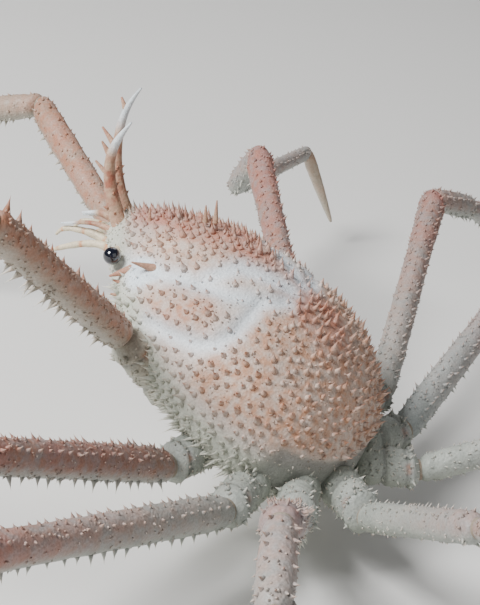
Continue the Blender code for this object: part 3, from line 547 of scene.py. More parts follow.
def shell_material(name, grain, **swaps):
    """Shell finish with its own strength of grain and any colour of the set swapped for another."""
    if name in bpy.data.materials:
        return bpy.data.materials[name]
    colours = bpy.context.scene.crab_colours
    material, tree, shader = new_material(name, 0.55)
    group = put(tree, "ShaderNodeGroup", node_tree=shell_group())
    for label, key in (("White", "white"), ("Warm", "warm"), ("Rose", "rose"), ("Pale", "pale"), ("Green", "green"),
                       ("Tip", "tip"), ("Tip pale", "tip_pale"), ("Speck", "speck"), ("Painted shade grey", "grey")):
        group.inputs[label].default_value = (*swaps.get(key, getattr(colours, key)), 1)
    tree.links.new(group.outputs["Color"], shader.inputs["Base Color"])
    tree.links.new(group.outputs["Roughness"], shader.inputs["Roughness"])
    bump = put(tree, "ShaderNodeBump", {"Strength": grain, "Distance": BUMP_DEPTH, "Height": group.outputs["Height"]})
    tree.links.new(bump.outputs[0], shader.inputs["Normal"])
    shader.inputs["Specular IOR Level"].default_value = 0.4
    return material


class Body:
    """The carapace in the crab's own axes.

    t runs from the front end (0) to the rear end (pi) and v round the body
    from the right edge over the back. Each half section is an ellipse whose
    width and height follow the sine of t, less a share of its cosine, which
    narrows the front, and a share of the cosine's cube for the face.
    """

    def __init__(self, sizes):
        self.sizes = sizes
        eyes = [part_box("eye_" + label) for label in ("left", "right")]
        middle = sum((np.array(low) + np.array(high) for low, high in eyes), np.zeros(3)) / 4
        self.place = np.zeros(3)
        eye = self.world(np.array(EYE_CENTRE))
        self.place = np.array([middle[0], middle[1] - eye[1], 0])

    def plain(self, t, v):
        s = self.sizes
        t, v = np.broadcast_arrays(np.asarray(t, float), np.asarray(v, float))
        swell, front = np.sin(t), np.cos(t)
        face = np.maximum(front, 0) ** 3
        width = s.half_width * swell * (1 - s.front_narrowing * front - s.face_narrowing * face)
        fall = s.back_fall * np.maximum(front, 0) - s.back_rise * np.maximum(-front, 0)
        back = s.back_height * swell * (1 - fall - s.face_fall * face)
        belly = s.belly_depth * swell * (1 - s.belly_fall * np.maximum(front, 0))
        along = (s.front_reach - s.rear_reach) / 2 + (s.front_reach + s.rear_reach) / 2 * front
        return np.stack([width * np.cos(v), along, np.where(np.sin(v) > 0, back, belly) * np.sin(v)], -1)

    def normal(self, t, v, step=1e-3):
        """Outward unit normal by small steps in t and v."""
        along = self.plain(t + step, v) - self.plain(t - step, v)
        around = self.plain(t, v + step) - self.plain(t, v - step)
        return unit(np.cross(around, along))

    def world(self, points):
        """Body axes to world axes: pitch about X, raise to the body's level, then the crab's place."""
        points = np.asarray(points, float)
        cosine, sine = math.cos(self.sizes.pitch), math.sin(self.sizes.pitch)
        y, z = points[..., 1], points[..., 2]
        return np.stack([points[..., 0], y * cosine - z * sine, y * sine + z * cosine + self.sizes.level],
                        -1) + self.place


def line_distance(points, line):
    """Distance from each point to a bent line, over all its stretches."""
    line = np.asarray(line, float)
    best = np.full(points.shape[:-1], np.inf)
    for start, end in zip(line[:-1], line[1:]):
        run = end - start
        share = np.clip(((points - start) @ run) / (run @ run), 0, 1)
        best = np.minimum(best, np.linalg.norm(points - start - share[..., None] * run, axis=-1))
    return best


def folded(points):
    """Points in millimetres with the left half folded onto the right."""
    out = points / MM
    out[..., 0] = np.abs(out[..., 0])
    return out


def rear_band(y, z):
    """How far a place in millimetres lies on the bare band round the rear."""
    return smooth(-30, -35, y) * smooth(13.5, 11, z)


def shell_relief(points):
    """Height over the plain shell in metres.

    Rounded swellings and the rear rim, less bell-shaped grooves and the rear band.
    """
    spots = folded(points)
    height = np.zeros(spots.shape[:-1])
    for centre, rise, reach in SWELLINGS:
        height += rise * np.exp(-(np.linalg.norm(spots - np.array(centre, float), axis=-1) / reach) ** 2)
    for line, depth, reach in GROOVES:
        height -= depth * np.exp(-(line_distance(spots, line) / reach) ** 2)
    y, z = spots[..., 1], spots[..., 2]
    rim = np.exp(-((z + 3.2) / 1.3) ** 2) * smooth(-33, -38, y)
    return (height + RIM_HEIGHT * rim - BAND_DEPTH * rear_band(y, z) * smooth(-2, 0, z)) * MM


def shell_regions(points):
    """Masks of the carapace from places in the body's axes: warm, pale, green, rose, smooth, flank, band.

    Warm covers the gill regions behind their groove, the side lobe and the
    stomach region. Pale follows the grooves and the patch by the eye, rose the
    middle of the back, and green the flanks. Each region's edge is a soft step
    in x, y or z, in millimetres.
    """
    spots = folded(points)
    x, y, z = spots[..., 0], spots[..., 1], spots[..., 2]
    groove = np.zeros(spots.shape[:-1])
    for line, _, reach in GROOVES:
        groove = np.maximum(groove, np.exp(-(line_distance(spots, line) / (GROOVE_SPREAD * reach)) ** 2))
    patch = np.exp(-(np.linalg.norm(spots - np.array(SMOOTH_PATCH[0]), axis=-1) / SMOOTH_PATCH[1]) ** 4)
    gill_edge = 3.5 - 0.12 * np.maximum(x - 15, 0)
    gill = smooth(gill_edge + 2, gill_edge - 3, y) * smooth(5, 12, z + 0.14 * (y + 8))
    lobe = np.exp(-(np.linalg.norm(spots - np.array(ROSE_PATCH[0]), axis=-1) / ROSE_PATCH[1]) ** 2)
    stomach = smooth(6, 16, y) * smooth(46, 38, y) * smooth(5, 12, z)
    middle = smooth(14, 5, x) * smooth(-34, -10, y) * smooth(0, 8, z)
    front = smooth(38, 48, y) * smooth(-6, 2, z)
    flank = smooth(8, 1, z - 0.06 * np.maximum(y, 0) + 0.14 * np.minimum(y + 8, 0))
    smoothness = np.clip(groove + patch, 0, 1)
    warm = np.clip(0.85 * gill + 0.70 * lobe + 0.65 * stomach, 0, 1)
    rose = np.clip(0.70 * middle + 0.45 * lobe + 0.20 * front, 0, 0.8)
    green = 0.9 * flank * (1 - 0.7 * patch)
    pale = np.clip(0.85 * groove * (1 - 0.6 * flank) + patch, 0, 1)
    return warm, pale, green, rose, smoothness, flank, rear_band(y, z)


def spread_out(points, gaps, rng):
    """Indices of points in random order, each kept if it lies its gap away from all kept before."""
    kept = np.empty((len(points), 3))
    reach = np.empty(len(points))
    chosen = []
    for index in rng.permutation(len(points)):
        count = len(chosen)
        if count:
            near = np.einsum("ij,ij->i", kept[:count] - points[index], kept[:count] - points[index])
            limit = np.minimum(reach[:count], gaps[index])
            if (near < limit * limit).any():
                continue
        kept[count] = points[index]
        reach[count] = gaps[index]
        chosen.append(index)
    return np.array(chosen)


def masks(warm, pale, green, rose, heat, dirt, grey=0.0):
    """The two mask rows from their parts, with the tip mask at nought; grey is the mask of painted shade."""
    warm, pale, green, rose, heat, dirt, grey = np.broadcast_arrays(warm, pale, green, rose, heat, dirt, grey)
    return np.stack([warm, pale, green, np.zeros(warm.shape)], -1), np.stack([rose, heat, dirt, grey], -1)


def shell_surface(body, rings=240, sides=400):
    """The carapace on a grid of t and v, with its relief along the normal."""
    t = np.linspace(0, math.pi, rings + 2)[1:-1, None]
    v = np.linspace(0, 2 * math.pi, sides, endpoint=False)[None, :]
    plain = body.plain(t, v)
    points = plain + shell_relief(plain)[..., None] * body.normal(t, v)
    warm, pale, green, rose, _, flank, band = shell_regions(plain)
    # Painted shade: grey over the band round the rear, above its rim
    grey = band * smooth(-1.6, -0.2, plain[..., 2] / MM)
    tint, mark = masks(warm * (1 - band), pale, green, rose, 0.5, 0.25 + 0.6 * flank, 0.7 * grey)
    return tube(body.world(points), tint, mark)


def scattered(body, rng, draws):
    """Random spots on the back and flanks: t, v and places on the plain shell."""
    t = np.arccos(rng.uniform(-0.995, 0.992, draws))
    v = rng.uniform(-0.75, math.pi + 0.75, draws)
    return t, v, body.plain(t, v)


def standing(body, t, v, plain, lean):
    """World feet on the shell's relief, and world ways along its normal plus a lean."""
    normal = body.normal(t, v)
    feet = plain + shell_relief(plain)[:, None] * normal
    return body.world(feet), body.world(feet + normal + lean) - body.world(feet)


def shell_spine_surface(body, spines, draws=26000):
    """Tubercles and spines of the carapace.

    Spots are drawn over t and v and thinned to a spacing that depends on the
    region. A spine stands along the normal with a lean to the front.
    """
    rng = np.random.default_rng(spines.seed)
    t, v, plain = scattered(body, rng, draws)
    warm, pale, green, rose, smoothness, flank, band = shell_regions(plain)
    spots = folded(plain)
    x, y, z = spots[:, 0], spots[:, 1], spots[:, 2]
    edge = smooth(9, 3, x) * smooth(-30, -5, y) * smooth(5, 12, z)
    gap = spines.spacing * (1 + 0.9 * smoothness - 0.28 * flank - 0.30 * edge + 0.9 * band)
    chosen = spread_out(plain, gap * rng.uniform(0.85, 1.2, draws), rng)
    face = smooth(34, 40, y) * smooth(8, 5, z)
    bare = np.maximum(np.maximum(face, band), pale ** 4)
    chosen = chosen[rng.random(len(chosen)) > bare[chosen]]
    t, v, plain = t[chosen], v[chosen], plain[chosen]
    warm, pale, green, rose, smoothness, flank, band, edge = (
        part[chosen] for part in (warm, pale, green, rose, smoothness, flank, band, edge))
    count = len(chosen)
    size = rng.uniform(0.75, 1.2, count)
    big = rng.random(count) < BIG_SHARES[0] + BIG_SHARES[1] * edge
    size = np.where(big, size * BIG_SIZE, size)
    size *= 1 - 0.55 * smoothness - 0.35 * band
    lengths = spines.height * size * (1 + 0.45 * flank + 0.15 * edge)
    radii = spines.radius * np.sqrt(size) * (1 - 0.25 * flank - 0.15 * edge)
    feet, ways = standing(body, t, v, plain, TUBERCLE_LEAN + rng.normal(0, 0.10, (count, 3)))
    heat = np.clip(0.95 - 0.9 * flank - 0.6 * band, 0, 1) * rng.uniform(0.7, 1.0, count)
    tint, mark = masks(warm, pale * 0.6, green, rose, heat, 0.1)
    return cones(feet, ways, lengths, radii, tint, mark, spines.sides, spines.rings)


def granule_surface(body, spines, draws=3000):
    """Fine granules strewn evenly over the carapace between the tubercles, fewest in the smooth grooves."""
    rng = np.random.default_rng(spines.seed + 2)
    t, v, plain = scattered(body, rng, draws)
    warm, pale, green, rose, smoothness, flank, band = shell_regions(plain)
    kept = rng.random(draws) > np.maximum(0.75 * smoothness, 0.5 * band)
    t, v, plain = t[kept], v[kept], plain[kept]
    feet, ways = standing(body, t, v, plain, rng.normal(0, 0.25, plain.shape) + GRANULE_LEAN)
    lengths = rng.uniform(0.0004, 0.0011, len(feet))
    tint, mark = masks(warm[kept] * 0.8, pale[kept], green[kept], rose[kept], 0.6 - 0.5 * flank[kept], 0.0)
    return cones(feet, ways, lengths, lengths * 0.5, tint, mark, 4, 2)


def smooth_path(path, radii, count):
    """A path and its radii resampled evenly, then softened by a running mean that keeps the ends."""
    path, radii = np.asarray(path, float), np.asarray(radii, float)
    steps = np.linalg.norm(np.diff(path, axis=0), axis=1)
    at = np.concatenate([[0], np.cumsum(steps)]) / steps.sum()
    share = np.linspace(0, 1, count)
    rows = np.stack([np.interp(share, at, column) for column in (*path.T, radii)], -1)
    reach = max(count // 10, 1)
    for _ in range(3):
        padded = np.concatenate([2 * rows[:1] - rows[reach:0:-1], rows, 2 * rows[-1:] - rows[-2:-reach - 2:-1]])
        total = np.cumsum(np.concatenate([np.zeros((1, 4)), padded]), 0)
        rows = (total[2 * reach + 1:] - total[:-2 * reach - 1]) / (2 * reach + 1)
    return rows[:, :3], np.maximum(rows[:, 3], 0.0001)


def swept(path, radii, sides=HORN_SIDES, ridges=0.0, lobes=0):
    """Rings square to a path; ridges adds a share of the radius that ripples along it."""
    tangent = unit(np.gradient(path, axis=0))
    side = unit(np.cross(tangent, (0.12, 0.35, 0.93)))
    up = np.cross(side, tangent)
    turn = np.linspace(0, 2 * np.pi, sides, endpoint=False)
    wave = 1 + ridges * np.cos(np.linspace(0, 2 * np.pi * lobes, len(path)))
    radius = (radii * wave)[:, None, None]
    return path[:, None] + radius * (np.cos(turn)[:, None] * side[:, None] + np.sin(turn)[:, None] * up[:, None])


def horn_surface(body, spines):
    """The long forked spines over the face and the short ones round the eyes and on the back.

    A forked one is cream at the foot, brown on the shaft and white at the tip.
    """
    rng = np.random.default_rng(spines.seed + 1)
    pairs = [(np.array(path) * (side, 1, 1), radii) for path, radii in PAIRED_HORNS for side in (1, -1)]
    parts = []
    for path, radii in (*MIDDLE_HORNS, *pairs):
        line, sizes = smooth_path(path, radii, HORN_ROWS)
        rings = body.world(swept(line, sizes))
        share = np.linspace(0, 1, len(line))[:, None]
        tint, mark = masks(0.3, 0, 0, 0.35 + 0.35 * share, 0.8, 0)
        if len(path) > 2:
            shaft, tip = np.exp(-((share - 0.42) / 0.30) ** 2), smooth(0.62, 0.80, share)
            tint, mark = masks(0.9 * shaft, 0.9 * tip, 0, 0.45 * smooth(0.35, 0, share), 0.8, 0.2)
        parts.append(tube(rings, tint[:, :1].repeat(HORN_SIDES, 1), mark[:, :1].repeat(HORN_SIDES, 1)))
        if sizes.max() < THICK_HORN:
            continue
        count = HORN_GRANULES
        row = rng.integers(1, HORN_ROWS // 2, count)
        angle = rng.uniform(0, 2 * np.pi, count)
        ring = swept(line, sizes, 2 * HORN_SIDES)
        spot = ring[row, (angle / (2 * np.pi) * 2 * HORN_SIDES).astype(int)]
        out = unit(spot - line[row])
        way = unit(out + 0.5 * unit(np.gradient(line, axis=0))[row])
        tint, mark = masks(0.7, 0, 0, 0.3, np.ones(count), 0)
        lengths = rng.uniform(0.0006, 0.0014, count)
        turn = body.world(spot + way) - body.world(spot)
        parts.append(cones(body.world(spot), turn, lengths, lengths * 0.6, tint, mark, 6, 3))
    return joined(parts)


class LimbPiece:
    """A straight piece between two joint planes.

    Every section is an ellipse about the axis. A point's place along the axis
    is its share of the way between the planes, and near each end the section
    shrinks on a quarter circle, which rounds the end off.
    """

    def __init__(self, start, end, start_normal, end_normal, shape, front, ridges=()):
        self.start = start
        self.axis = unit(end - start)
        self.length = float(np.linalg.norm(end - start))
        self.side = unit(np.cross(self.axis, (0, 0, 1)))
        self.up = np.cross(self.side, self.axis)
        self.normals = (start_normal, end_normal)
        self.front = front
        self.ridges = ridges
        share = np.linspace(0, 1, 201)
        rows = np.array(shape, float)
        sizes = np.stack([np.interp(share, rows[:, 0], rows[:, column]) for column in (1, 2)], -1) * MM
        padded = np.pad(sizes, ((8, 8), (0, 0)), mode="edge")
        total = np.cumsum(np.concatenate([np.zeros((1, 2)), padded]), 0)
        self.share = share
        self.sizes = (total[17:] - total[:-17]) / 17

    def turn(self, degrees):
        """Angle round the axis from one measured from the front edge over the top."""
        angle = np.radians(degrees)
        return angle if self.front > 0 else np.pi - angle

    def point(self, fraction, turn):
        """Place on the surface at a share of the length and an angle round the axis."""
        fraction, turn = np.broadcast_arrays(np.asarray(fraction, float), np.asarray(turn, float))
        width = np.interp(fraction, self.share, self.sizes[:, 0])
        depth = np.interp(fraction, self.share, self.sizes[:, 1])
        near = np.minimum(fraction, 1 - fraction) * self.length
        inset = np.clip(1 - near / END_ROUNDING, 0, 1)
        shrink = 0.55 + 0.45 * np.sqrt(1 - inset ** 2)
        wave = 1 + 0.012 * np.sin(3 * turn + 40 * fraction) + 0.010 * np.sin(5 * turn - 60 * fraction)
        for spot, rise, reach in self.ridges:
            wave = wave + rise * np.exp(-((fraction - spot) / reach) ** 2)
        offset = ((width * shrink * wave * np.cos(turn))[..., None] * self.side
                  + (depth * shrink * wave * np.sin(turn))[..., None] * self.up)
        first = (JOINT_GAP - offset @ self.normals[0]) / (self.axis @ self.normals[0])
        last = self.length - (JOINT_GAP + offset @ self.normals[1]) / (self.axis @ self.normals[1])
        along = first * (1 - fraction) + last * fraction
        return self.start + offset + along[..., None] * self.axis

    def outward(self, turn):
        """Direction from the axis at an angle round it."""
        turn = np.asarray(turn, float)
        return np.cos(turn)[..., None] * self.side + np.sin(turn)[..., None] * self.up


def fractions(length, step=0.0009):
    """Shares of a length, closer together in the rounded ends."""
    edge = END_ROUNDING / length * (1 - np.cos(np.linspace(0, np.pi / 2, 6)))
    middle = np.linspace(edge[-1], 1 - edge[-1], max(int(length / step), 8))
    return np.concatenate([edge[:-1], middle, 1 - edge[-2::-1]])


def limb_masks(tints, fraction, lift, heat=0.5):
    """Masks of a limb piece: each tint runs from its near to its far end, and lower faces go green."""
    warm, rose, green, dirt = tints
    upper = smooth(-0.9, 0.0, lift)
    blend = [low + (high - low) * fraction for low, high in (warm, rose, green)]
    return masks(blend[0] * (0.25 + 0.75 * upper), 0.25 * (1 - upper), np.clip(blend[2] + 0.45 * (1 - upper), 0, 1),
                 blend[1] * (0.25 + 0.75 * upper), heat, dirt)


def limb_spines(piece, rows, tints, rng, spines, granules=0.0, scale=1.0, far=0.0, rim=0):
    """Rows of spines along a limb piece, a rim of them round its far end, and granules between.

    far is how much longer the spines grow from the near to the far end.
    """
    fraction, turn, length, radius, lean, heat = [], [], [], [], [], []
    for degrees, spacing, size, foot, slant, warmth in rows:
        count = max(int(piece.length / (spacing * MM)), 1)
        spots = (np.arange(count) + rng.uniform(0.25, 0.75, count)) / count
        spots = 0.03 + 0.94 * spots
        fraction.append(spots)
        turn.append(piece.turn(degrees + rng.normal(0, 5, count)))
        grow = rng.uniform(0.6, 1.15, count) * scale * (1 + far * (spots - 0.45))
        length.append(size * MM * grow)
        radius.append(foot * MM * np.sqrt(grow))
        lean.append(np.full(count, slant))
        heat.append(np.full(count, warmth))
    if rim:
        fraction.append(np.full(rim, 1 - 0.0032 / piece.length))
        turn.append(np.arange(rim) * 2 * np.pi / rim + rng.normal(0, 0.12, rim))
        length.append(rng.uniform(*RIM_LENGTHS, rim))
        radius.append(np.full(rim, 0.0006))
        lean.append(np.full(rim, 0.9))
        heat.append(rng.uniform(0.1, 0.6, rim))
    count = int(granules * piece.length * piece.sizes.mean() * 1e6)
    fraction.append(rng.uniform(0.03, 0.97, count))
    turn.append(rng.uniform(0, 2 * np.pi, count))
    length.append(rng.uniform(*GRANULE_LENGTHS, count))
    radius.append(rng.uniform(*GRANULE_RADII, count))
    lean.append(np.full(count, 0.6))
    heat.append(np.full(count, 0.4))
    fraction, turn, length, radius, lean, heat = (
        np.concatenate(part) for part in (fraction, turn, length, radius, lean, heat))
    outward = piece.outward(turn)
    feet = piece.point(fraction, turn)
    ways = outward + lean[:, None] * piece.axis + rng.normal(0, 0.10, feet.shape)
    tint, mark = limb_masks(tints, fraction, outward[:, 2], heat)
    return cones(feet, ways, length, radius, tint, mark, spines.sides, spines.rings)


def skin_ball(centre, axis, width, depth, side):
    """Folded skin inside a joint: a ball whose radius ripples along the limb."""
    angle = np.linspace(0.1, np.pi - 0.1, SKIN_ROWS)[:, None]
    turn = np.linspace(0, 2 * np.pi, SKIN_SIDES, endpoint=False)[None, :]
    up = np.cross(side, axis)
    ripple = 1 + 0.03 * np.cos(angle * 9)
    rings = (centre - (np.cos(angle) * 0.8 * width)[..., None] * axis
             + (np.sin(angle) * ripple * np.cos(turn) * width)[..., None] * side
             + (np.sin(angle) * ripple * np.sin(turn) * depth)[..., None] * up)
    tint, mark = masks(np.full(rings.shape[:2], 0.5), 0, 0, 0.0, 0.5, 0.4)
    return tube(rings, tint, mark)


def heading(side, yaw, rise):
    """Unit vector of a limb piece on one side of the crab."""
    yaw, rise = math.radians(yaw), math.radians(rise)
    return np.array([side * math.cos(yaw) * math.cos(rise), math.sin(yaw) * math.cos(rise), math.sin(rise)])


def limb_pieces(body, number, side):
    """The pieces of a limb from its base outwards, as pairs of name and LimbPiece."""
    mirror = np.array([side, 1, 1])
    coxa = body.world(np.array(COXAE[number]) * mirror)
    hip = body.world(np.array(HIPS[number]) * mirror)
    if (number, side) == (1, 1):
        hip = body.world(np.array(RIGHT_ARM_HIP))
    chain = CHAINS[(number, side)]
    names = ["base"] + [row[0] for row in chain]
    ways = [unit(hip - coxa)] + [heading(side, row[1], row[2]) for row in chain]
    joints = [coxa, hip]
    for row, way in zip(chain, ways[1:]):
        joints.append(joints[-1] + row[3] * way)
    last_normal = ways[-1]
    if number == 1:
        names.append("finger")
        joints.append(joints[-1] + FINGER_LENGTH * unit(ways[-1] + np.array([0, 0, -0.12])))
    elif (number, side) == (2, 1):
        names.append("dactylus")
        joints.append(joints[-1] + LIFTED_CLAW[2] * heading(side, LIFTED_CLAW[0], LIFTED_CLAW[1]))
    elif number < 5:
        names.append("dactylus")
        foot = joints[-1] + FOOT_LEAN * unit(ways[-1] * np.array([1, 1, 0]))
        joints.append(foot * np.array([1, 1, 0]))
        last_normal = np.array([0, 0, -1.0])
    if len(names) > len(ways):
        ways.append(unit(joints[-1] - joints[-2]))
        if number == 1 or (number, side) == (2, 1):
            last_normal = ways[-1]
    normals = [ways[0]] + [unit(before + after) for before, after in zip(ways, ways[1:])] + [last_normal]
    sections = SECTIONS[number]
    return [(name, LimbPiece(joints[index], joints[index + 1], normals[index], normals[index + 1], sections[name],
                             side * -1, RIDGES.get(name, ()))) for index, name in enumerate(names)]


ROW_SETS = {1: ARM_ROWS, 2: LEG_ROWS, 3: LEG_ROWS, 4: LEG_ROWS, 5: HIND_ROWS}


def mark_base(share, turn, tint, mark):
    """Three orange patches near a base's far end, and painted shade in grey in its two grooves."""
    patch = np.exp(-((share - 0.80) / 0.06) ** 2) * smooth(0.2, 0.9, np.cos(3 * turn - 1.2))
    tint[..., 0] = np.maximum(tint[..., 0], patch)
    tint[..., 2] *= 1 - patch
    grooves = [np.exp(-((share - spot) / reach) ** 2) for spot, rise, reach in RIDGES["base"] if rise < 0]
    # Painted shade: grey in the base's two grooves
    mark[..., 3] = 0.6 * sum(grooves)


def build_limb(number, side, material, tip_material):
    """Every piece of one limb with its spines, and the skin in its joints."""
    scene = bpy.context.scene
    body = Body(scene.crab_body)
    spines = scene.crab_spines
    rng = np.random.default_rng(spines.seed + 10 * number + (side > 0))
    stem = "cheliped" if number == 1 else "leg%d" % number
    label = "left" if side < 0 else "right"
    scale = SPINE_SCALE.get((number, side), USUAL_SCALE)
    pieces = limb_pieces(body, number, side)
    skins = []
    for index, (name, piece) in enumerate(pieces):
        share = fractions(piece.length)[:, None]
        turn = np.linspace(0, 2 * np.pi, LIMB_SIDES, endpoint=False)[None, :]
        tints = TINTS.get((stem, name), BASE_TINT if name == "base" else FAR_TINT)
        lift = piece.outward(turn[0])[:, 2]
        tint, mark = limb_masks(tints, np.broadcast_to(share, (len(share), LIMB_SIDES)), lift)
        if name == "base":
            mark_base(share, turn, tint, mark)
        parts = [tube(piece.point(share, turn), tint, mark)]
        if name == "base":
            parts.append(limb_spines(piece, BASE_ROWS, tints, rng, spines, 1.0, 1.5 if number == 1 else 1.2,
                                     rim=BASE_RIM))
        elif name in ("merus", "carpus", "palm"):
            parts.append(limb_spines(piece, ROW_SETS[number], tints, rng, spines, GRANULE_DENSITY * scale ** 2,
                                     scale, 0.8 * (number == 1), LIMB_RIM))
        elif name in ("propodus", "hand"):
            parts.append(limb_spines(piece, SHANK_ROWS, tints, rng, spines, 0.3))
        tip = name in ("dactylus", "finger")
        node = "%s_%s_%s" % (stem, label, name)
        add_piece(node + "_shell", joined(parts), tip_material if tip else material, [node])
        if index:
            width, depth = piece.sizes[0] * 0.86
            skins.append(skin_ball(piece.start, unit(piece.axis + pieces[index - 1][1].axis), width, depth,
                                   piece.side))
    add_piece("%s_%s_joint_skin" % (stem, label), joined(skins), skin_material())


def skin_material():
    """Soft skin inside the joints."""
    colours = bpy.context.scene.crab_colours
    return shell_material("Joint skin", 0.2, warm=colours.skin, white=SKIN_WHITE)


def claw_material():
    """Smooth horn of the last limb pieces."""
    return shell_material("Claw horn", 0.25, **CLAW_COLOURS)


class CrabOperator:
    """Settings that every step shares."""
    bl_options = {"REGISTER", "UNDO"}


class CRAB_OT_carapace(CrabOperator, bpy.types.Operator):
    """Build the carapace with its tubercles and horns"""
    bl_idname = "crab.carapace"
    bl_label = "Carapace"

    def execute(self, context):
        scene = context.scene
        body = Body(scene.crab_body)
        finish = shell_material("Carapace shell", 0.5)
        add_piece("carapace_shell", shell_surface(body), finish, ["carapace"])
        add_piece("carapace_spines", shell_spine_surface(body, scene.crab_spines), finish)
        add_piece("carapace_granules", granule_surface(body, scene.crab_spines), finish)
        horn = shell_material("Horn shell", 0.4, **HORN_COLOURS)
        add_piece("carapace_horns", horn_surface(body, scene.crab_spines), horn)
        return {"FINISHED"}


def strip_surface(body, t, lift, widths, thickness, lobes):
    """A plate under the middle of the body.

    The half section is a half ellipse to a low power, so that its top is flat,
    and its thickness dips at evenly spaced seams across it.
    """
    v = np.full(len(t), -math.pi / 2)
    normal = body.normal(t, v)
    spine = body.plain(t, v) + lift[:, None] * normal
    across = np.linspace(0, 2 * np.pi, 40, endpoint=False)
    wide = np.cos(across)
    high = np.where(np.sin(across) > 0, np.abs(np.sin(across)) ** 0.5, 0.0)
    seam = 1 - 0.22 * np.exp(-((np.mod(np.linspace(0, lobes, len(t)), 1) - 0.5) / 0.10) ** 2)
    rings = spine[:, None] + (widths[:, None] * wide)[..., None] * np.array([1.0, 0, 0])
    rings = rings + (thickness * seam[:, None] * high)[..., None] * normal[:, None]
    tint, mark = masks(np.full(rings.shape[:2], 0.1), 0.1, 0.55, 0, 0.1, 0.5)
    return tube(body.world(rings), tint, mark)


class CRAB_OT_underside(CrabOperator, bpy.types.Operator):
    """Build the breastplate, the tucked tail and the mouth plates"""
    bl_idname = "crab.underside"
    bl_label = "Underside"

    def execute(self, context):
        body = Body(context.scene.crab_body)
        finish = shell_material("Underside shell", 0.35)
        for piece, node, first, last, rows, widths, lifts, thickness, seams in PLATES:
            t = np.linspace(first, last, rows)
            surface = strip_surface(body, t, np.interp(t, *zip(*lifts)), np.interp(t, *zip(*widths)), thickness, seams)
            add_piece(piece, surface, finish, [node])
        return {"FINISHED"}


class CRAB_OT_face(CrabOperator, bpy.types.Operator):
    """Build the eyes, their stalks and the feelers"""
    bl_idname = "crab.face"
    bl_label = "Face"

    def execute(self, context):
        scene = context.scene
        body = Body(scene.crab_body)
        colours = scene.crab_colours
        eye_finish, _, shader = new_material("Eye", 0.06, colours.eye)
        shader.inputs["Coat Weight"].default_value = 1.0
        finish = shell_material("Feeler horn", 0.2, white=colours.horn, warm=FEELER_WARM)
        for side, label in ((-1, "left"), (1, "right")):
            mirror = np.array([-side, 1, 1])
            centre = body.world(np.array(EYE_CENTRE) * mirror)
            root = body.world(np.array(STALK_ROOT) * mirror)
            way = unit(centre - root)
            self.eye(label, centre, way, eye_finish)
            line, sizes = smooth_path((root, (root + centre) / 2, centre - 0.5 * EYE_RADIUS * way),
                                      (STALK_RADIUS, STALK_RADIUS, 0.9 * STALK_RADIUS), 24)
            rings = swept(line, sizes, 20, 0.05, 3)
            tint, mark = masks(np.full(rings.shape[:2], 0.2), 0, 0, 0, 0.5, 0.1)
            add_piece("eyestalk_%s_shell" % label, tube(rings, tint, mark), finish, ["eyestalk_" + label])
            for name, (path, radii) in (("antennule", ANTENNULE), ("antenna", ANTENNA)):
                line, sizes = smooth_path(body.world(np.array(path) * mirror), radii, 60)
                rings = swept(line, sizes, 16, 0.06, 5)
                share = np.linspace(0, 1, len(line))[:, None]
                joint = np.exp(-((np.mod(share * 3, 1) - 0.5) / 0.07) ** 2)
                tint, mark = masks(np.broadcast_to(joint, rings.shape[:2]), 0, 0, 0, 0.5, 0.1)
                add_piece("%s_%s_shell" % (name, label), tube(rings, tint, mark), finish,
                          ["%s_%s" % (name, label)])
        return {"FINISHED"}

    def eye(self, label, centre, way, finish):
        """A ball of rings from pole to pole along the stalk."""
        angle = np.linspace(0.08, np.pi - 0.08, 30)[:, None]
        turn = np.linspace(0, 2 * np.pi, 40, endpoint=False)[None, :]
        side = unit(np.cross(way, (0, 0, 1)))
        up = np.cross(side, way)
        rings = centre + EYE_RADIUS * (-np.cos(angle)[..., None] * way
                                       + (np.sin(angle) * np.cos(turn))[..., None] * side
                                       + (np.sin(angle) * np.sin(turn))[..., None] * up)
        add_piece("eye_%s_ball" % label, tube(rings), finish, ["eye_" + label])


class CRAB_OT_walking_legs(CrabOperator, bpy.types.Operator):
    """Build the six walking legs"""
    bl_idname = "crab.walking_legs"
    bl_label = "Walking legs"

    def execute(self, context):
        finish = shell_material("Leg shell", 0.5, **SHADE_DARKENED_LEG_COLOURS)
        for number in (2, 3, 4):
            for side in (-1, 1):
                build_limb(number, side, finish, claw_material())
        return {"FINISHED"}


class CRAB_OT_claws(CrabOperator, bpy.types.Operator):
    """Build the two claw arms"""
    bl_idname = "crab.claws"
    bl_label = "Claw arms"

    def execute(self, context):
        finish = shell_material("Arm shell", 0.5, **SHADE_DARKENED_ARM_COLOURS)
        for side in (-1, 1):
            build_limb(1, side, finish, claw_material())
        return {"FINISHED"}


class CRAB_OT_hind_legs(CrabOperator, bpy.types.Operator):
    """Build the two small raised hind legs"""
    bl_idname = "crab.hind_legs"
    bl_label = "Hind legs"

    def execute(self, context):
        finish = shell_material("Hind leg shell", 0.5, **SHADE_DARKENED_LEG_COLOURS)
        for side in (-1, 1):
            build_limb(5, side, finish, claw_material())
        return {"FINISHED"}


def area_light(name, place, target, size, power):
    """A square area light that faces a target."""
    data = bpy.data.lights.new(name, "AREA")
    data.size = size
    data.energy = power
    lamp = bpy.data.objects.new(name, data)
    back = unit(np.array(place) - np.array(target))
    side = unit(np.cross((0, 0, 1), back))
    lamp.matrix_world = Matrix(np.vstack([np.column_stack([side, np.cross(back, side), back, place]),
                                          [0, 0, 0, 1]]).tolist())
    bpy.context.scene.collection.objects.link(lamp)


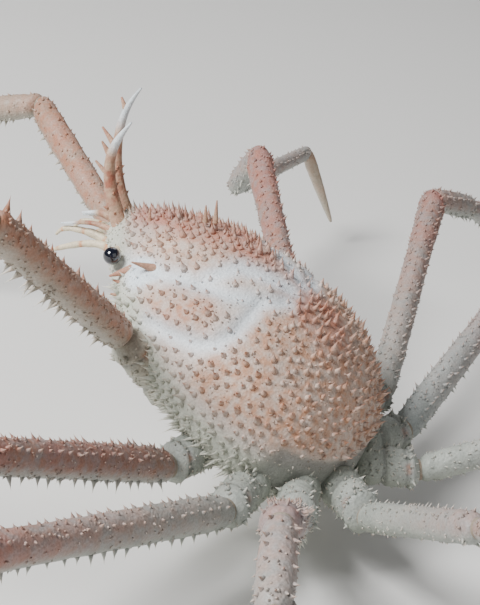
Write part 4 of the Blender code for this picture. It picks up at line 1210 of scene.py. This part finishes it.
class CRAB_OT_stage(CrabOperator, bpy.types.Operator):
    """Lay the floor and set the lights and the camera"""
    bl_idname = "crab.stage"
    bl_label = "Stage"

    def execute(self, context):
        scene = context.scene
        settings = scene.crab_stage
        mesh = bpy.data.meshes.new("floor")
        corners = [(x * FLOOR_REACH, y * FLOOR_REACH, 0) for x, y in ((-1, -1), (1, -1), (1, 1), (-1, 1))]
        mesh.from_pydata(corners, [], [(0, 1, 2, 3)])
        material, _, _ = new_material("Studio floor", 0.7, scene.crab_colours.floor)
        mesh.materials.append(material)
        floor = bpy.data.objects.new("floor", mesh)
        scene.collection.objects.link(floor)
        body = Body(scene.crab_body)
        centre = body.world(np.zeros(3))
        self.camera(scene, settings, centre)
        for name, (offset, size) in LIGHTS.items():
            area_light(name, centre + np.array(offset), centre, size, settings.key if name == "key" else settings.fill)
        world = bpy.data.worlds.new("studio")
        world.use_nodes = True
        background = world.node_tree.nodes["Background"]
        background.inputs["Color"].default_value = SKY_COLOUR
        background.inputs["Strength"].default_value = settings.sky
        scene.world = world
        return {"FINISHED"}

    def camera(self, scene, settings, centre):
        """The camera looks at the body's middle, then turns so that it stands at its place in the image."""
        azimuth, elevation, roll = settings.azimuth, settings.elevation, settings.roll
        back = np.array([math.cos(elevation) * math.cos(azimuth), math.cos(elevation) * math.sin(azimuth),
                         math.sin(elevation)])
        level = np.array([-math.sin(azimuth), math.cos(azimuth), 0])
        above = np.cross(back, level)
        right = math.cos(roll) * level + math.sin(roll) * above
        up = np.cross(back, right)
        place = centre + settings.distance * back
        focal = settings.lens / SENSOR * IMAGE_HEIGHT
        pan = math.atan2(BODY_PIXEL[0] - IMAGE_WIDTH / 2, focal)
        tilt = math.atan2(IMAGE_HEIGHT / 2 - BODY_PIXEL[1], focal)
        aim = Matrix(np.vstack([np.column_stack([right, up, back, place]), [0, 0, 0, 1]]).tolist())
        data = bpy.data.cameras.new("camera")
        data.lens = settings.lens
        data.sensor_width = SENSOR
        data.clip_start = 0.01
        camera = bpy.data.objects.new("camera", data)
        camera.matrix_world = aim @ Matrix.Rotation(pan, 4, "Y") @ Matrix.Rotation(-tilt, 4, "X")
        scene.collection.objects.link(camera)
        scene.camera = camera


STEPS = (CRAB_OT_carapace, CRAB_OT_underside, CRAB_OT_face, CRAB_OT_walking_legs, CRAB_OT_claws, CRAB_OT_hind_legs,
         CRAB_OT_stage)
GROUPS = (("crab_body", CrabBody), ("crab_spines", CrabSpines), ("crab_colours", CrabColours),
          ("crab_stage", CrabStage))


class CRAB_PT_panel(bpy.types.Panel):
    """Settings and steps of the crab"""
    bl_idname = "CRAB_PT_panel"
    bl_label = "Carrier Crab"
    bl_space_type = "VIEW_3D"
    bl_region_type = "UI"
    bl_category = "Crab"

    def draw(self, context):
        layout = self.layout
        for name, group in GROUPS:
            box = layout.box()
            box.label(text=group.__doc__.split(".")[0])
            for key in group.__annotations__:
                box.prop(getattr(context.scene, name), key)
        for step in STEPS:
            layout.operator(step.bl_idname)


def register():
    for _, group in GROUPS:
        bpy.utils.register_class(group)
    for name, group in GROUPS:
        setattr(bpy.types.Scene, name, PointerProperty(type=group))
    for step in (*STEPS, CRAB_PT_panel):
        bpy.utils.register_class(step)


def unregister():
    for step in reversed((*STEPS, CRAB_PT_panel)):
        bpy.utils.unregister_class(step)
    for name, _ in GROUPS:
        delattr(bpy.types.Scene, name)
    for _, group in reversed(GROUPS):
        bpy.utils.unregister_class(group)


def main():
    register()
    bpy.ops.crab.carapace()
    bpy.ops.crab.underside()
    bpy.ops.crab.face()
    bpy.ops.crab.walking_legs()
    bpy.ops.crab.claws()
    bpy.ops.crab.hind_legs()
    bpy.ops.crab.stage()


if __name__ == "__main__":
    main()
